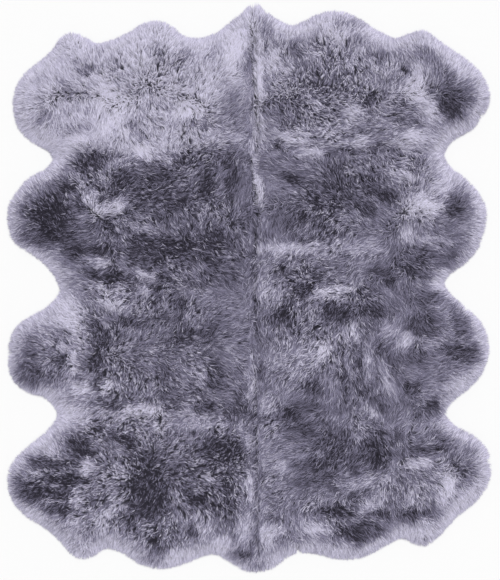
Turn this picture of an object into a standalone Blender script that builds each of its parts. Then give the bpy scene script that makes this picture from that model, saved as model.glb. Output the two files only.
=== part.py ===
"""A sheepskin rug of eight long-wool pelts, cut to shape and sewn edge to edge.

The pelts lie in two columns of four. Each one lies across the rug: its neck and legs make
the scalloped rim, and its straight edges meet the other pelts in seams. A pelt is one closed
solid, which is the hide with the pile of wool that grows on it: flat underneath, lumpy on
top, creased at the seams, rounded down to the floor at the rim and ending there in locks.

Metres, +Z up. The origin is on the floor, in the middle of the rug's outline, and +Y runs
along the rug's length.
"""

import math
import random
from collections import namedtuple

import bmesh
import bpy
import numpy as np
from mathutils import Vector, noise
from mathutils.geometry import delaunay_2d_cdt

# Pile, measured up from the floor
PILE = 0.048  # wool and hide, at the crown of a pelt
LUMP = 0.010  # how far the crown rises and sinks in soft lumps
LUMP_SPAN = 0.13  # from one lump to the next
RIM_HEIGHT = 0.016  # where the locks leave the rim
SHOULDER = 0.075  # from the rim in to full height

# Seams
SEAM_GAP = 0.0003  # between neighbouring pelts
CREASE = 0.26  # share of the pile's height lost at a seam
CREASE_WIDTH = 0.020

# Locks at the rim
CURVE_STEPS = 12  # between two landmarks
LOCK_PITCH = 0.0265  # along the line that they grow from
LOCK_ROOT_SHARE = 0.80  # of the pitch. The rest is the gap between two roots
LOCK_REACH = 0.027
LOCK_SPREAD = 0.006  # at most, added to a lock's reach or taken off it
LOCK_LEAN = 0.008  # at most, along the rim
NOTCH_INSET = 0.030  # from a notch along its seam to the locks' roots
ROOT_LINE_STEP = 0.008

# Net of points that the top is drawn on
SEAM_STEP = 0.036
ROW_DEPTHS = (0.017, 0.044)  # rows that follow the pelt's edge, this far in
ROW_KEPT = 0.93  # of a row's depth, at least, from all of the edge
NET_DEPTH = 0.066  # the net fills what lies further in
NET_STEP = 0.036
NET_JITTER = 0.009  # at most, each way, so that the net's rows don't show
SAME_PLACE = 1e-7  # points nearer than this are one

Landmark = namedtuple("Landmark", "x y")
Seam = namedtuple("Seam", "left centre right")  # from the notch at one side to the other
Pelt = namedtuple("Pelt", "name side above below rim shade")

# Seams that run across the rug, and the peaks where the centre seam meets the rim
SEAMS = {
    "upper": Seam(Landmark(-0.724, 0.482), Landmark(0.024, 0.533), Landmark(0.722, 0.500)),
    "middle": Seam(Landmark(-0.698, -0.006), Landmark(0.024, 0.022), Landmark(0.722, 0.020)),
    "lower": Seam(Landmark(-0.706, -0.470), Landmark(0.024, -0.477), Landmark(0.730, -0.466)),
}
PEAKS = {
    "far_end": Landmark(0.024, 1.053),
    "near_end": Landmark(0.024, -1.055),
}

# The line through the lock tips of each pelt, down from its end nearest +Y, without the notch
# or peak at either end. A pelt at a corner of the rug shows its legs as well as its neck.
LEFT_1_RIM = (
    Landmark(-0.045, 1.012),
    Landmark(-0.075, 0.985),
    Landmark(-0.120, 0.952),
    Landmark(-0.195, 0.931),  # hollow
    Landmark(-0.247, 0.943),
    Landmark(-0.280, 0.974),
    Landmark(-0.334, 0.998),  # hind leg
    Landmark(-0.395, 0.985),
    Landmark(-0.450, 0.950),
    Landmark(-0.515, 0.923),
    Landmark(-0.570, 0.912),  # hollow
    Landmark(-0.607, 0.935),
    Landmark(-0.655, 0.955),  # fore leg
    Landmark(-0.698, 0.940),
    Landmark(-0.725, 0.893),
    Landmark(-0.775, 0.848),
    Landmark(-0.840, 0.792),
    Landmark(-0.873, 0.720),  # neck
    Landmark(-0.875, 0.665),
    Landmark(-0.852, 0.590),
    Landmark(-0.790, 0.537),
    Landmark(-0.745, 0.512),
)
LEFT_2_RIM = (
    Landmark(-0.750, 0.447),
    Landmark(-0.808, 0.418),
    Landmark(-0.860, 0.365),
    Landmark(-0.893, 0.305),  # neck
    Landmark(-0.893, 0.235),
    Landmark(-0.880, 0.185),
    Landmark(-0.828, 0.141),
    Landmark(-0.765, 0.101),
    Landmark(-0.720, 0.045),
)
LEFT_3_RIM = (
    Landmark(-0.722, -0.043),
    Landmark(-0.770, -0.080),
    Landmark(-0.830, -0.112),
    Landmark(-0.875, -0.155),
    Landmark(-0.893, -0.230),  # neck
    Landmark(-0.888, -0.310),
    Landmark(-0.855, -0.364),
    Landmark(-0.810, -0.390),
    Landmark(-0.768, -0.398),
    Landmark(-0.725, -0.432),
)
LEFT_4_RIM = (
    Landmark(-0.735, -0.512),
    Landmark(-0.800, -0.569),
    Landmark(-0.862, -0.625),
    Landmark(-0.893, -0.680),
    Landmark(-0.895, -0.735),  # neck
    Landmark(-0.872, -0.795),
    Landmark(-0.825, -0.845),
    Landmark(-0.745, -0.895),
    Landmark(-0.690, -0.950),
    Landmark(-0.655, -0.988),
    Landmark(-0.612, -1.005),  # fore leg
    Landmark(-0.575, -0.994),
    Landmark(-0.540, -0.965),  # hollow
    Landmark(-0.480, -0.973),
    Landmark(-0.420, -1.012),
    Landmark(-0.335, -1.041),  # hind leg
    Landmark(-0.240, -1.021),
    Landmark(-0.180, -0.996),
    Landmark(-0.125, -0.984),  # hollow
    Landmark(-0.075, -1.010),
    Landmark(-0.025, -1.042),
)
RIGHT_1_RIM = (
    Landmark(0.070, 1.027),
    Landmark(0.115, 0.997),
    Landmark(0.162, 0.977),  # hollow
    Landmark(0.205, 0.995),
    Landmark(0.250, 1.019),
    Landmark(0.335, 1.034),  # hind leg
    Landmark(0.395, 1.013),
    Landmark(0.455, 0.975),
    Landmark(0.500, 0.948),
    Landmark(0.550, 0.931),  # hollow
    Landmark(0.605, 0.954),
    Landmark(0.655, 0.962),  # fore leg
    Landmark(0.710, 0.921),
    Landmark(0.770, 0.880),
    Landmark(0.838, 0.830),
    Landmark(0.882, 0.772),
    Landmark(0.896, 0.705),  # neck
    Landmark(0.880, 0.655),
    Landmark(0.820, 0.585),
    Landmark(0.755, 0.548),
)
RIGHT_2_RIM = (
    Landmark(0.745, 0.458),
    Landmark(0.800, 0.414),
    Landmark(0.858, 0.352),
    Landmark(0.884, 0.285),  # neck
    Landmark(0.873, 0.215),
    Landmark(0.850, 0.148),
    Landmark(0.800, 0.092),
    Landmark(0.745, 0.053),
)
RIGHT_3_RIM = (
    Landmark(0.750, -0.018),
    Landmark(0.820, -0.078),
    Landmark(0.870, -0.132),
    Landmark(0.892, -0.205),  # neck
    Landmark(0.888, -0.265),
    Landmark(0.860, -0.325),
    Landmark(0.805, -0.380),
    Landmark(0.750, -0.424),
)
RIGHT_4_RIM = (
    Landmark(0.755, -0.500),
    Landmark(0.830, -0.540),
    Landmark(0.880, -0.586),
    Landmark(0.900, -0.650),  # neck
    Landmark(0.890, -0.722),
    Landmark(0.856, -0.777),
    Landmark(0.770, -0.850),
    Landmark(0.700, -0.925),
    Landmark(0.655, -0.956),  # fore leg
    Landmark(0.610, -0.945),
    Landmark(0.572, -0.925),  # hollow
    Landmark(0.520, -0.947),
    Landmark(0.420, -0.997),
    Landmark(0.330, -1.003),  # hind leg
    Landmark(0.260, -0.986),
    Landmark(0.190, -0.979),  # hollow
    Landmark(0.145, -0.994),
    Landmark(0.090, -1.037),
)

# side is -1 for the left column and +1 for the right, above and below name the seams or peaks
# at the rim's two ends, and shade is how light the wool is
PELTS = (
    Pelt("pelt_left_1", -1, "far_end", "upper", LEFT_1_RIM, 1.15),
    Pelt("pelt_left_2", -1, "upper", "middle", LEFT_2_RIM, 0.85),
    Pelt("pelt_left_3", -1, "middle", "lower", LEFT_3_RIM, 1.00),
    Pelt("pelt_left_4", -1, "lower", "near_end", LEFT_4_RIM, 0.92),
    Pelt("pelt_right_1", 1, "far_end", "upper", RIGHT_1_RIM, 1.02),
    Pelt("pelt_right_2", 1, "upper", "middle", RIGHT_2_RIM, 0.95),
    Pelt("pelt_right_3", 1, "middle", "lower", RIGHT_3_RIM, 0.97),
    Pelt("pelt_right_4", 1, "lower", "near_end", RIGHT_4_RIM, 1.00),
)
WOOL_COLOUR = (0.231, 0.216, 0.279)  # linear, a lavender grey
WOOL_ROUGHNESS = 0.9


def clear_scene():
    for item in list(bpy.data.objects):
        bpy.data.objects.remove(item)


def smooth_curve(landmarks):
    """A curve through the landmarks, by Catmull and Rom's formula with the spacing that leaves
    no loops where landmarks lie close together."""
    points = [np.array(mark) for mark in landmarks]
    points = [2 * points[0] - points[1], *points, 2 * points[-1] - points[-2]]
    curve = []
    for a, b, c, d in zip(points, points[1:], points[2:], points[3:]):
        t_a = 0.0
        t_b = t_a + math.sqrt(np.linalg.norm(b - a))
        t_c = t_b + math.sqrt(np.linalg.norm(c - b))
        t_d = t_c + math.sqrt(np.linalg.norm(d - c))
        for t in np.linspace(t_b, t_c, CURVE_STEPS, endpoint=False):
            ab = a + (b - a) * (t - t_a) / (t_b - t_a)
            bc = b + (c - b) * (t - t_b) / (t_c - t_b)
            cd = c + (d - c) * (t - t_c) / (t_d - t_c)
            abc = ab + (bc - ab) * (t - t_a) / (t_c - t_a)
            bcd = bc + (cd - bc) * (t - t_b) / (t_d - t_b)
            curve.append(abc + (bcd - abc) * (t - t_b) / (t_c - t_b))
    return np.array([*curve, points[-2]])


def lengths_along(line):
    steps = np.linalg.norm(np.diff(line, axis=0), axis=1)
    return np.concatenate([[0.0], np.cumsum(steps)])


def points_at(line, distances):
    along = lengths_along(line)
    return np.stack([np.interp(distances, along, line[:, k]) for k in (0, 1)], axis=1)


def spaced_along(line, step):
    """Points evenly spaced along an open line, its first one included and its last left out."""
    length = lengths_along(line)[-1]
    count = max(1, round(length / step))
    return points_at(line, length * np.arange(count) / count)


def inward_normals(line, distances, side):
    """Unit vectors that point into a pelt, at these distances along its rim."""
    reach = LOCK_PITCH / 2
    tangent = points_at(line, distances + reach) - points_at(line, distances - reach)
    tangent /= np.linalg.norm(tangent, axis=1)[:, None]
    return side * np.stack([tangent[:, 1], -tangent[:, 0]], axis=1)


def rim_end(pelt, end):
    """The notch or peak that a pelt's rim starts or finishes at."""
    if end in PEAKS:
        return PEAKS[end]
    return SEAMS[end].left if pelt.side < 0 else SEAMS[end].right


def seam_line(pelt, seam):
    """The seam as the pelt sees it: its centre end and its notch, half a gap inside the pelt."""
    inside = SEAM_GAP / 2 * (1 if seam == pelt.below else -1)
    centre, notch = SEAMS[seam].centre, rim_end(pelt, seam)
    beside = pelt.side * SEAM_GAP / 2
    return np.array([centre.x + beside, centre.y + inside]), np.array([notch.x, notch.y + inside])


def root_end(pelt, end):
    """Where the locks' roots stop: on a seam that runs across, or on the centre seam."""
    if end in SEAMS:
        centre, notch = seam_line(pelt, end)
        return notch + (centre - notch) / np.linalg.norm(centre - notch) * NOTCH_INSET
    peak = PEAKS[end]
    return np.array([peak.x + pelt.side * SEAM_GAP / 2, peak.y - math.copysign(NOTCH_INSET, peak.y)])


def centre_corner(pelt, end):
    """The pelt's corner on the centre seam."""
    return seam_line(pelt, end)[0] if end in SEAMS else root_end(pelt, end)


def distance_to(points, line):
    """From each point to the nearest of a line's straight stretches."""
    start, step = line[:-1], np.diff(line, axis=0)
    away = points[:, None] - start[None]
    share = (away * step).sum(2) / (step * step).sum(1)
    away -= np.clip(share, 0, 1)[:, :, None] * step
    return np.linalg.norm(away, axis=2).min(1)


def is_inside(points, outline):
    """Whether each point lies within a closed outline."""
    x, y = points[:, 0, None], points[:, 1, None]
    start, end = outline, np.roll(outline, -1, axis=0)
    between = (start[:, 1] > y) != (end[:, 1] > y)
    rise = np.where(end[:, 1] == start[:, 1], 1.0, end[:, 1] - start[:, 1])
    crossing = start[:, 0] + (y - start[:, 1]) / rise * (end[:, 0] - start[:, 0])
    return (between & (x < crossing)).sum(1) % 2 == 1


def root_line(pelt):
    """The line that a pelt's locks grow from: a lock's reach inside the tips, from the seam at
    one end of the rim to the seam at the other."""
    curve = smooth_curve([rim_end(pelt, pelt.above), *pelt.rim, rim_end(pelt, pelt.below)])
    length = lengths_along(curve)[-1]
    along = np.linspace(0, length, round(length / ROOT_LINE_STEP))
    line = points_at(curve, along) + LOCK_REACH * inward_normals(curve, along, pelt.side)
    line = line[keeps_to_its_side(pelt, line)]
    ends = [root_end(pelt, pelt.above), root_end(pelt, pelt.below)]
    for end in ends:
        line = line[np.linalg.norm(line - end, axis=1) > LOCK_PITCH / 2]
    return np.array([ends[0], *line, ends[1]])


def locks_of(pelt, line):
    """For each lock along the root line, the two corners of its root, and its tip."""
    length = lengths_along(line)[-1]
    count = round(length / LOCK_PITCH)
    pitch = length / count
    middles = pitch * (np.arange(count) + 0.5)
    half = LOCK_ROOT_SHARE / 2 * pitch
    roots = np.stack([points_at(line, middles - half), points_at(line, middles + half)], axis=1)

    across = roots[:, 1] - roots[:, 0]
    across /= np.linalg.norm(across, axis=1)[:, None]
    outward = -pelt.side * np.stack([across[:, 1], -across[:, 0]], axis=1)
    chance = random.Random(pelt.name)
    reach = [LOCK_REACH + chance.uniform(-LOCK_SPREAD, LOCK_SPREAD) for _ in middles]
    lean = [chance.uniform(-LOCK_LEAN, LOCK_LEAN) for _ in middles]
    drawn = np.array(reach)[:, None] * outward + np.array(lean)[:, None] * across
    tips = roots.mean(axis=1) + drawn
    astray = ~keeps_to_its_side(pelt, tips)
    tips[astray] -= drawn[astray] / 2
    return roots, tips


def keeps_to_its_side(pelt, points):
    """Whether points lie clear of the lines that the pelt's seams run along."""
    clearance = LOCK_PITCH / 8
    kept = pelt.side * (points[:, 0] - PEAKS["far_end"].x) > clearance
    for seam, outside in ((pelt.above, 1), (pelt.below, -1)):
        if seam in SEAMS:
            centre, notch = seam_line(pelt, seam)
            slope = (notch[1] - centre[1]) / (notch[0] - centre[0])
            line_y = centre[1] + slope * (points[:, 0] - centre[0])
            kept &= outside * (line_y - points[:, 1]) > clearance
    return kept


def outline_of(pelt, start, finish, roots):
    """The pelt's closed outline without its locks, anticlockwise from above, and for each point
    the number of the lock whose root starts there, or -1. The rim runs from start to finish."""
    corners = [centre_corner(pelt, pelt.below), centre_corner(pelt, pelt.above)]
    seams = []
    for a, b in zip([finish, *corners], [*corners, start]):
        if np.linalg.norm(b - a) > SEAM_GAP:
            seams.append(spaced_along(np.array([a, b]), SEAM_STEP))
    outline = np.concatenate([[start], roots.reshape(-1, 2), *seams])
    lock = np.full(len(outline), -1)
    lock[1 : 1 + 2 * len(roots) : 2] = np.arange(len(roots))
    if pelt.side > 0:  # a rim on the right runs clockwise
        outline = outline[::-1]
        lock = np.roll(lock[::-1], -1)
    return outline, lock


def net_of(pelt, outline):
    """Points inside the outline: rows that follow its edge, then a net."""
    closed = np.concatenate([outline, outline[:1]])
    found = np.empty((0, 2))
    for depth in ROW_DEPTHS:
        row = spaced_along(closed, SEAM_STEP)
        ahead = np.roll(row, -1, axis=0) - np.roll(row, 1, axis=0)
        ahead /= np.linalg.norm(ahead, axis=1)[:, None]
        row = row + depth * np.stack([-ahead[:, 1], ahead[:, 0]], axis=1)
        row = row[is_inside(row, outline) & (distance_to(row, closed) > ROW_KEPT * depth)]
        found = np.concatenate([found, row])
    low, high = outline.min(0), outline.max(0)
    across = np.arange(low[0], high[0], NET_STEP)
    along = np.arange(low[1], high[1], NET_STEP * math.sqrt(3) / 2)
    net = [(x + NET_STEP / 2 * (k % 2), y) for k, y in enumerate(along) for x in across]
    chance = random.Random(pelt.name)
    net = np.array([[c + chance.uniform(-NET_JITTER, NET_JITTER) for c in point] for point in net])
    net = net[is_inside(net, outline)]
    net = net[distance_to(net, closed) > NET_DEPTH]
    return np.concatenate([thinned(found, SEAM_STEP / 2), net])


def thinned(points, spacing):
    """The points without those that lie nearer than this to one already kept."""
    kept = []
    for point in points:
        if all(np.linalg.norm(point - other) > spacing for other in kept):
            kept.append(point)
    return np.array(kept)


def seam_lines():
    """All the seams, as lines of two or three points."""
    return [np.array(seam) for seam in SEAMS.values()] + [np.array(list(PEAKS.values()))]


def pile_heights(points, rim_lines):
    """Height of the wool above the floor: soft lumps, creased at the seams and rounded down
    to the rim."""
    to_rim = np.min([distance_to(points, line) for line in rim_lines], axis=0)
    to_seam = np.min([distance_to(points, line) for line in seam_lines()], axis=0)
    lumps = [noise.noise(Vector((x, y, 0.0)) / LUMP_SPAN) for x, y in points]
    crown = PILE + LUMP * np.clip(2 * np.array(lumps), -1, 1)
    crown *= 1 - CREASE * np.exp(-((to_seam / CREASE_WIDTH) ** 2))
    inwards = 1 - np.clip(to_rim / SHOULDER, 0, 1)
    return RIM_HEIGHT + (crown - RIM_HEIGHT) * np.sqrt(1 - inwards**2)


def lay_floor(bm, outline):
    """The hide's flat underside, facing down, and its corners in the outline's order."""
    corners = [bm.verts.new((x, y, 0.0)) for x, y in outline]
    bm.faces.new(corners[::-1])
    return corners


def raise_walls(bm, corners, heights):
    """Walls round the underside, with their upper corners at the pile's heights."""
    upper = [bm.verts.new((c.co.x, c.co.y, z)) for c, z in zip(corners, heights)]
    walls = []
    for k in range(len(corners)):
        after = (k + 1) % len(corners)
        walls.append(bm.faces.new((corners[k], corners[after], upper[after], upper[k])))
    return upper, walls


def draw_out_locks(bm, walls, lock, tips):
    """Draws each lock's piece of wall out to a point that lies on the floor."""
    for wall, number in zip(walls, lock):
        if number >= 0:
            drawn = bmesh.ops.poke(bm, faces=[wall])
            drawn["verts"][0].co = (*tips[number], 0.0)


def cover_top(bm, upper, net, heights):
    """The lumpy top, as triangles between the walls' upper corners and the net's points."""
    flat = [Vector(v.co.xy) for v in upper] + [Vector(p) for p in net]
    edges = [(k, (k + 1) % len(upper)) for k in range(len(upper))]
    within_edges = 1  # leaves out what lies outside the outline
    triangles = delaunay_2d_cdt(flat, edges, [], within_edges, SAME_PLACE)[2]
    verts = upper + [bm.verts.new((x, y, z)) for (x, y), z in zip(net, heights)]
    for triangle in triangles:
        bm.faces.new([verts[k] for k in triangle])


def wool_material(name, shade):
    material = bpy.data.materials.new(name)
    material.use_nodes = True
    shader = material.node_tree.nodes["Principled BSDF"]
    shader.inputs["Base Color"].default_value = (*(c * shade for c in WOOL_COLOUR), 1.0)
    shader.inputs["Roughness"].default_value = WOOL_ROUGHNESS
    shader.inputs["Metallic"].default_value = 0.0
    return material


def build_pelt(pelt, outline, lock, tips, rim_lines):
    """One pelt as an object, with its place in its mesh."""
    net = net_of(pelt, outline)
    heights = pile_heights(np.concatenate([outline, net]), rim_lines)
    bm = bmesh.new()
    corners = lay_floor(bm, outline)
    upper, walls = raise_walls(bm, corners, heights[: len(outline)])
    cover_top(bm, upper, net, heights[len(outline) :])
    draw_out_locks(bm, walls, lock, tips)
    bmesh.ops.recalc_face_normals(bm, faces=bm.faces)
    mesh = bpy.data.meshes.new(pelt.name)
    bm.to_mesh(mesh)
    bm.free()
    mesh.materials.append(wool_material("wool_" + pelt.name, pelt.shade))
    item = bpy.data.objects.new(pelt.name, mesh)
    bpy.context.scene.collection.objects.link(item)
    return item


def centre_on_outline(items):
    """Moves the origin to the middle of the rug's outline."""
    places = np.array([v.co.xy for item in items for v in item.data.vertices])
    middle = (places.min(0) + places.max(0)) / 2
    for item in items:
        for vertex in item.data.vertices:
            vertex.co.x -= middle[0]
            vertex.co.y -= middle[1]


def main():
    clear_scene()
    rim_lines = [root_line(pelt) for pelt in PELTS]
    items = []
    for pelt, line in zip(PELTS, rim_lines):
        roots, tips = locks_of(pelt, line)
        outline, lock = outline_of(pelt, line[0], line[-1], roots)
        items.append(build_pelt(pelt, outline, lock, tips, rim_lines))
    centre_on_outline(items)


main()
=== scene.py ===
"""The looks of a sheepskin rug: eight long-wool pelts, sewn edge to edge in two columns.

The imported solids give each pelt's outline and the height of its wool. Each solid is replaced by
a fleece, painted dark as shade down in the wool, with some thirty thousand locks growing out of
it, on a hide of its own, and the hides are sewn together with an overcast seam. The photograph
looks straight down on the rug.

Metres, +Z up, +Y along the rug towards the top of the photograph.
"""

import math
from collections import namedtuple

import bmesh
import bpy
import numpy as np
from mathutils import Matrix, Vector
from mathutils.bvhtree import BVHTree
from mathutils.geometry import delaunay_2d_cdt


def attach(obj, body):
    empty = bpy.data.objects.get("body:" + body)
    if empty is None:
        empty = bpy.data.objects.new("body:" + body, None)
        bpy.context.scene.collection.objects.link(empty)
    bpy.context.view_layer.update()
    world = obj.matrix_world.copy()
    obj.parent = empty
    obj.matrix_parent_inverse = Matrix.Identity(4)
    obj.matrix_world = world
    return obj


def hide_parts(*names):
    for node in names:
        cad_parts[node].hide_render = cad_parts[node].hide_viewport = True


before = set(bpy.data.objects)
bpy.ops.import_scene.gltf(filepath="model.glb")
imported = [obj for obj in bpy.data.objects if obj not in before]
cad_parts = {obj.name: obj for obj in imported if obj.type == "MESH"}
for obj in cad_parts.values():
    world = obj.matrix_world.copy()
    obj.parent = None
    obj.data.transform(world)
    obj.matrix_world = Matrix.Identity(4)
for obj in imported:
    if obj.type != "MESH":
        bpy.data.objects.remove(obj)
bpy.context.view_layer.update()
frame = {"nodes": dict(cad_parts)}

bl_info = {
    "name": "Sheepskin rug",
    "version": (1, 0, 0),
    "blender": (4, 5, 0),
    "location": "View3D > Sidebar > Rug",
    "description": "Dresses a pieced sheepskin rug in wool, hide and sewing",
    "category": "Object",
}

PELTS = sorted(frame["nodes"])
UV_NAME = "OFBake"  # name of the map that the wool's tones are laid out on; the export keeps a map of this name

# Reading the imported solids
SAME_POINT = 1e-5
SEAM_REACH = 0.001  # an edge this near another pelt is a seam
CELL = 0.006  # of the map of heights and distances
MAP_MARGIN = 0.06  # that the map goes on round the rug
BLEND_PASSES = 12  # over the map, which spread a step over some 4 cm
RIM_PASSES = 5  # over the height near the rim, which round off the solids' kinks
FACES_DOWN = -0.9  # an underside's normal has less height than this
LATTICE = 256  # random values each way, before they come round again
SHAKE = 0.45  # of a net's spacing, at most, each way
SEED_PLACE = (0.1, 0.9)  # where in its cell a seed can lie

# Hides and their sewing
HIDE = 0.0018  # height of the fleece's underside, and of the hide's upper side along a seam
SEAM_LIFT = 0.0008  # of the hide's underside along a seam
SEAM_LIFT_WIDTH = 0.004  # from the seam in to where the hide is flat again
ROW_KEPT = 0.9  # of that width, at least, from a point of the flat part to every edge
SOFT_EDGE = 0.0002  # bevel of a hide's edges
SOFT_ANGLE = 50  # degrees, of the edges that are bevelled
THREAD = 0.0006  # across the thread
THREAD_SIDES = 5
STITCH = 0.0056  # length of a stitch, over the seam from side to side
STITCH_BENDS = 0.3  # of its length, from its middle to where it bends up
STITCH_HEIGHT = 0.55  # of its middle, in thicknesses of the thread
STITCH_RISE = 0.9  # and from there up to its ends, which are in the hides
STITCH_SLANT = 0.35
STITCH_PITCH = 0.005
STITCH_UNEVEN = 0.1  # of the pitch, at most, either way

# Patterns of the suede and the thread
CLOUD = 0.07  # from one cloud to the next
NAP = 0.0012
CREASES = 0.018
WAVE_SCALE = 0.3  # with this scale a diagonal wave comes about once a metre
NOISE_RANGE = {"From Min": 0.3, "From Max": 0.7}  # nearly all values of a noise lie in it

# Fleece
FLEECE_DEPTH = 0.015  # from the top of the wool down to the closed fleece
FLEECE_LEAST = 0.004  # height of the fleece over the hide at the rim
FLEECE_NET = 0.016  # between the points that its top is drawn on
FLEECE_SHADE_UV = (0.25, 0.1)  # dark, and near the root: painted shade, as the fleece lies down in the wool

# Rim
RIM_FALL = 0.060  # width of the band where the wool falls outwards
RIM_EDGE = 0.015  # width of the palest band, at the hide's edge
RIM_REACH = 0.029  # from the hide's edge out to the tips
RIM_RAGGED = 0.006  # at most, added to that or taken off it
RAGGED_SHARES = (0.6, 0.4)  # of that, by lock and by staple
RIM_ROUND = 0.016  # height of the wool at the hide's edge
RIM_SPARE = 1.2  # the height comes down to the floor this much further out than the tips
FRINGE_DENSITY = 1000  # extra locks for each metre of the hide's edge
FRINGE_BAND = (0.001, 0.008)  # from the hide's edge in to their roots

# Peak of fringe at the far end of the middle seam
PEAK_TIP = (0.014, 1.062)
PEAK_START = 0.97  # y where it begins
PEAK_WIDTH = 0.045  # from its middle to either side
PEAK_REACH = 0.022  # further out than the rest of the rim
PEAK_PULL = 2.0  # towards its tip, beside the wool's own lay

# Parting down the middle seam, where the wool of the two columns lies apart
PARTING_X = 0.0275  # half way down the rug
PARTING_SLANT = -0.0135  # metres to the right for each metre up
PARTING_WAVER = 0.002
PARTING_WAVER_SPAN = 0.03
PARTING_COMB = 0.024  # how far off the wool still lies along the parting
PARTING_LINE = 0.006  # width of the dip that shows as a line
PARTING_DIP = 0.004
# How plainly it shows, from the rug's far end to its near one: y in centimetres
PARTING_SHOWS = ((104, 0.0), (94, 0.4), (60, 0.6), (38, 0.4), (15, 0.3), (0, 0.2), (-12, 0.5),
                 (-42, 0.5), (-48, 0.2), (-54, 0.6), (-105, 0.7))
SEAM_GLEAM = 0.012  # from the parting to the middle of the strip on its right that is painted pale, a painted highlight where the combed wool catches the light
SEAM_GLEAM_WIDTH = 0.015
SEAM_GLEAMS = {"pelt_right_1": 0.35, "pelt_right_2": 0.35, "pelt_right_3": 0.05}

# Lie of the wool. Each share is beside the others, before the lay is brought to one length
FLOWS = ((0.28, 0.3, 31), (0.07, 0.4, 41))  # span of the whorls, their share, their seed
LAY_REACH = 0.055  # of a mark
LAY_SHARE = 1.6  # of the marks
LAY_UNSURE = 0.1  # weight of no mark at all, so that a place far from all has little of one
LAY_WARP = 0.018  # how far a mark's place wanders
PATCH_SHARE = 1.5  # of the long patches
PARTING_SHARE = 2.0  # of the wool that lies down along the parting
PARTING_SPREAD = 0.25  # of the wool along the parting, away from it
SEAM_SHARE = 0.15  # of the wool that leans off the seams across
SEAM_COMB = 0.024  # and how far off it still does
RIM_SHARE = 4  # of the wool that falls outwards
PARTED = 45.0  # how fast the lay spreads, in radians a metre, where the wool parts fully

# Tone of the wool, from -1, dark, to +1, pale
PATCH_TONE = 1.30  # of the patches, which are partly painted light and shade
PATCH_MOST = 1.2  # of patches that lie over one another
PATCH_EDGE = 0.7  # brings a patch down to half its tone at its edge
PATCH_WARP = 0.012  # how far its edge wanders
PATCH_WARP_SPAN = 0.04
TONES = 3.0  # of a patch, either way
SEAM_WARP = 0.020  # how far the change from one pelt to the next wanders
WARP_SPAN = 0.05  # from one swing of it to the next
TUFT_TONE = 0.15  # at most, from tuft to tuft
DRIFTS = ((0.1, 0.16, 51), (0.08, 0.045, 53))  # slow changes: how much, over what span, the seed
RIM_EVENS = 0.35  # share of all this that fades in the rim, and again at its edge
RIM_PAINTED_LIGHT = 1.15  # than the wool further in: painted light, for the light through the thin wool of the rim
EDGE_PAINTED_LIGHT = 0.15  # and at the edge again, also painted light
RIM_PALEST = 0.95  # past this a rim's tone is drawn back
RIM_DRAWN_BACK = 0.75
WISP_PAINTED_LIGHT = 0.7  # than the wool it lies over: painted light on the locks on top
UV_MIDDLE = 0.45  # place on the map of the middle tone
UV_TONE = 0.42  # and from there to the tone 1
UV_ENDS = (0.02, 0.98)
UV_STRIP = 0.008  # half the width that a lock takes on its map
STREAKS = 12  # across a lock

# How open the wool is, from 0, where its staples lie closed, to 1, where dark gaps show
OPEN_USUAL = 0.40
OPEN_DARK = 0.15  # more, for each step of tone down
OPEN_STANDS = 1.3  # of the places where it stands open or lies sleek
OPEN_SWELL = 0.25  # at most, more or less, in slow changes
OPEN_SWELL_SPAN = 0.10
OPEN_TUFT = 0.15  # from tuft to tuft
OPEN_STAPLE = 0.1
PARTING_CLOSES = 0.8  # share of it that the parting takes away
WISPS = (2, 0.6, -0.9)  # by lock, by staple and for all: a lock below 0 is no wisp

# Values that go with that: for closed wool, and what is added for open wool
STAPLE_TONE = (0.1, 0.1)  # from one staple to the next
STAPLE_EDGE_SHADE = (0.3, 1.3)  # painted shade: from a staple's pale middle to its edge, painted dark where shade falls between staples
MIXED_TONE = (0.24, 0.2)  # from one lock to the next
LOOSE = (0.45, 1.0)  # how freely the staples turn
DRAWN = (0.4, 0.5)  # of a lock's tip towards its staple's
CURL = (0.15, 0.35)
EDGE_SUNK = (0.004, 0.012)  # depth of the tips at a staple's edge

# Shape of a lock
STATIONS = (0.0, 0.5, 1.0)  # along a lock, root to tip
WIDTHS = (0.85, 1.0, 0.0)  # of the lock's width, at each station
LOCK_WIDTH = 0.25  # share that it varies by
LOCK_LENGTH = 0.2
STAPLE_LENGTH = 0.12
OPEN_SHORTER = 0.62  # share of a lock's length that doesn't show where the wool is open
PARTED_SHORTER = 0.45  # and where it parts
LOCK_TURN = 0.3  # radians at most, from the wool's lay
STAPLE_TURN = 0.5
TUFT_TURN = 0.4
PARTED_TURN = 1.6  # where the wool parts
RIM_CALM = 0.75  # share of the staples' turns and gathers that fades in the rim
PARTING_CALM = 0.7
RIM_STRAIGHT = 0.7  # of their curl
DRAWN_UNEVEN = 0.3  # share that the draw to the staple varies by, from lock to lock
STAPLE_MIDDLE = 0.35  # a staple is painted paler where twice the square of off is less than this, and darker, as painted shade between staples, where it is more
CRIMP = 0.0012  # how far a lock waves to the side
CRIMPS = (0, 1, -1)  # of that, at each station
TWIST = 0.7  # how far a lock's sides lie out of the level
SHOWN = 0.018  # from a root to the part of its lock that shows
BEND = (0.28, 0.12)  # share of the way to the tip, and at most more or less

# Depth of a lock below the wool's top
LEAST_SUNK = 0.001
LOCK_SUNK = 0.003  # on average, from one lock to the next
OPEN_SUNK = 0.002  # more of that in open wool
WISP_RISES = 0.8  # share of it that a wisp is without
RIM_RISES = 0.5
BEND_SUNK = 0.5  # of the tip's depth, at the bend
ROOT_DEPTH = 0.001  # into the fleece
LEAST_TIP = 0.0008  # height above the floor
FLOOR_GAP = 0.0005
FRINGE_TIP = (0.001, 0.004)  # height of the fringe: at least, and at most more
FRINGE_ROOT = (0.0025, 0.008)
FRINGE_BEND = 0.002  # over the root

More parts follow.
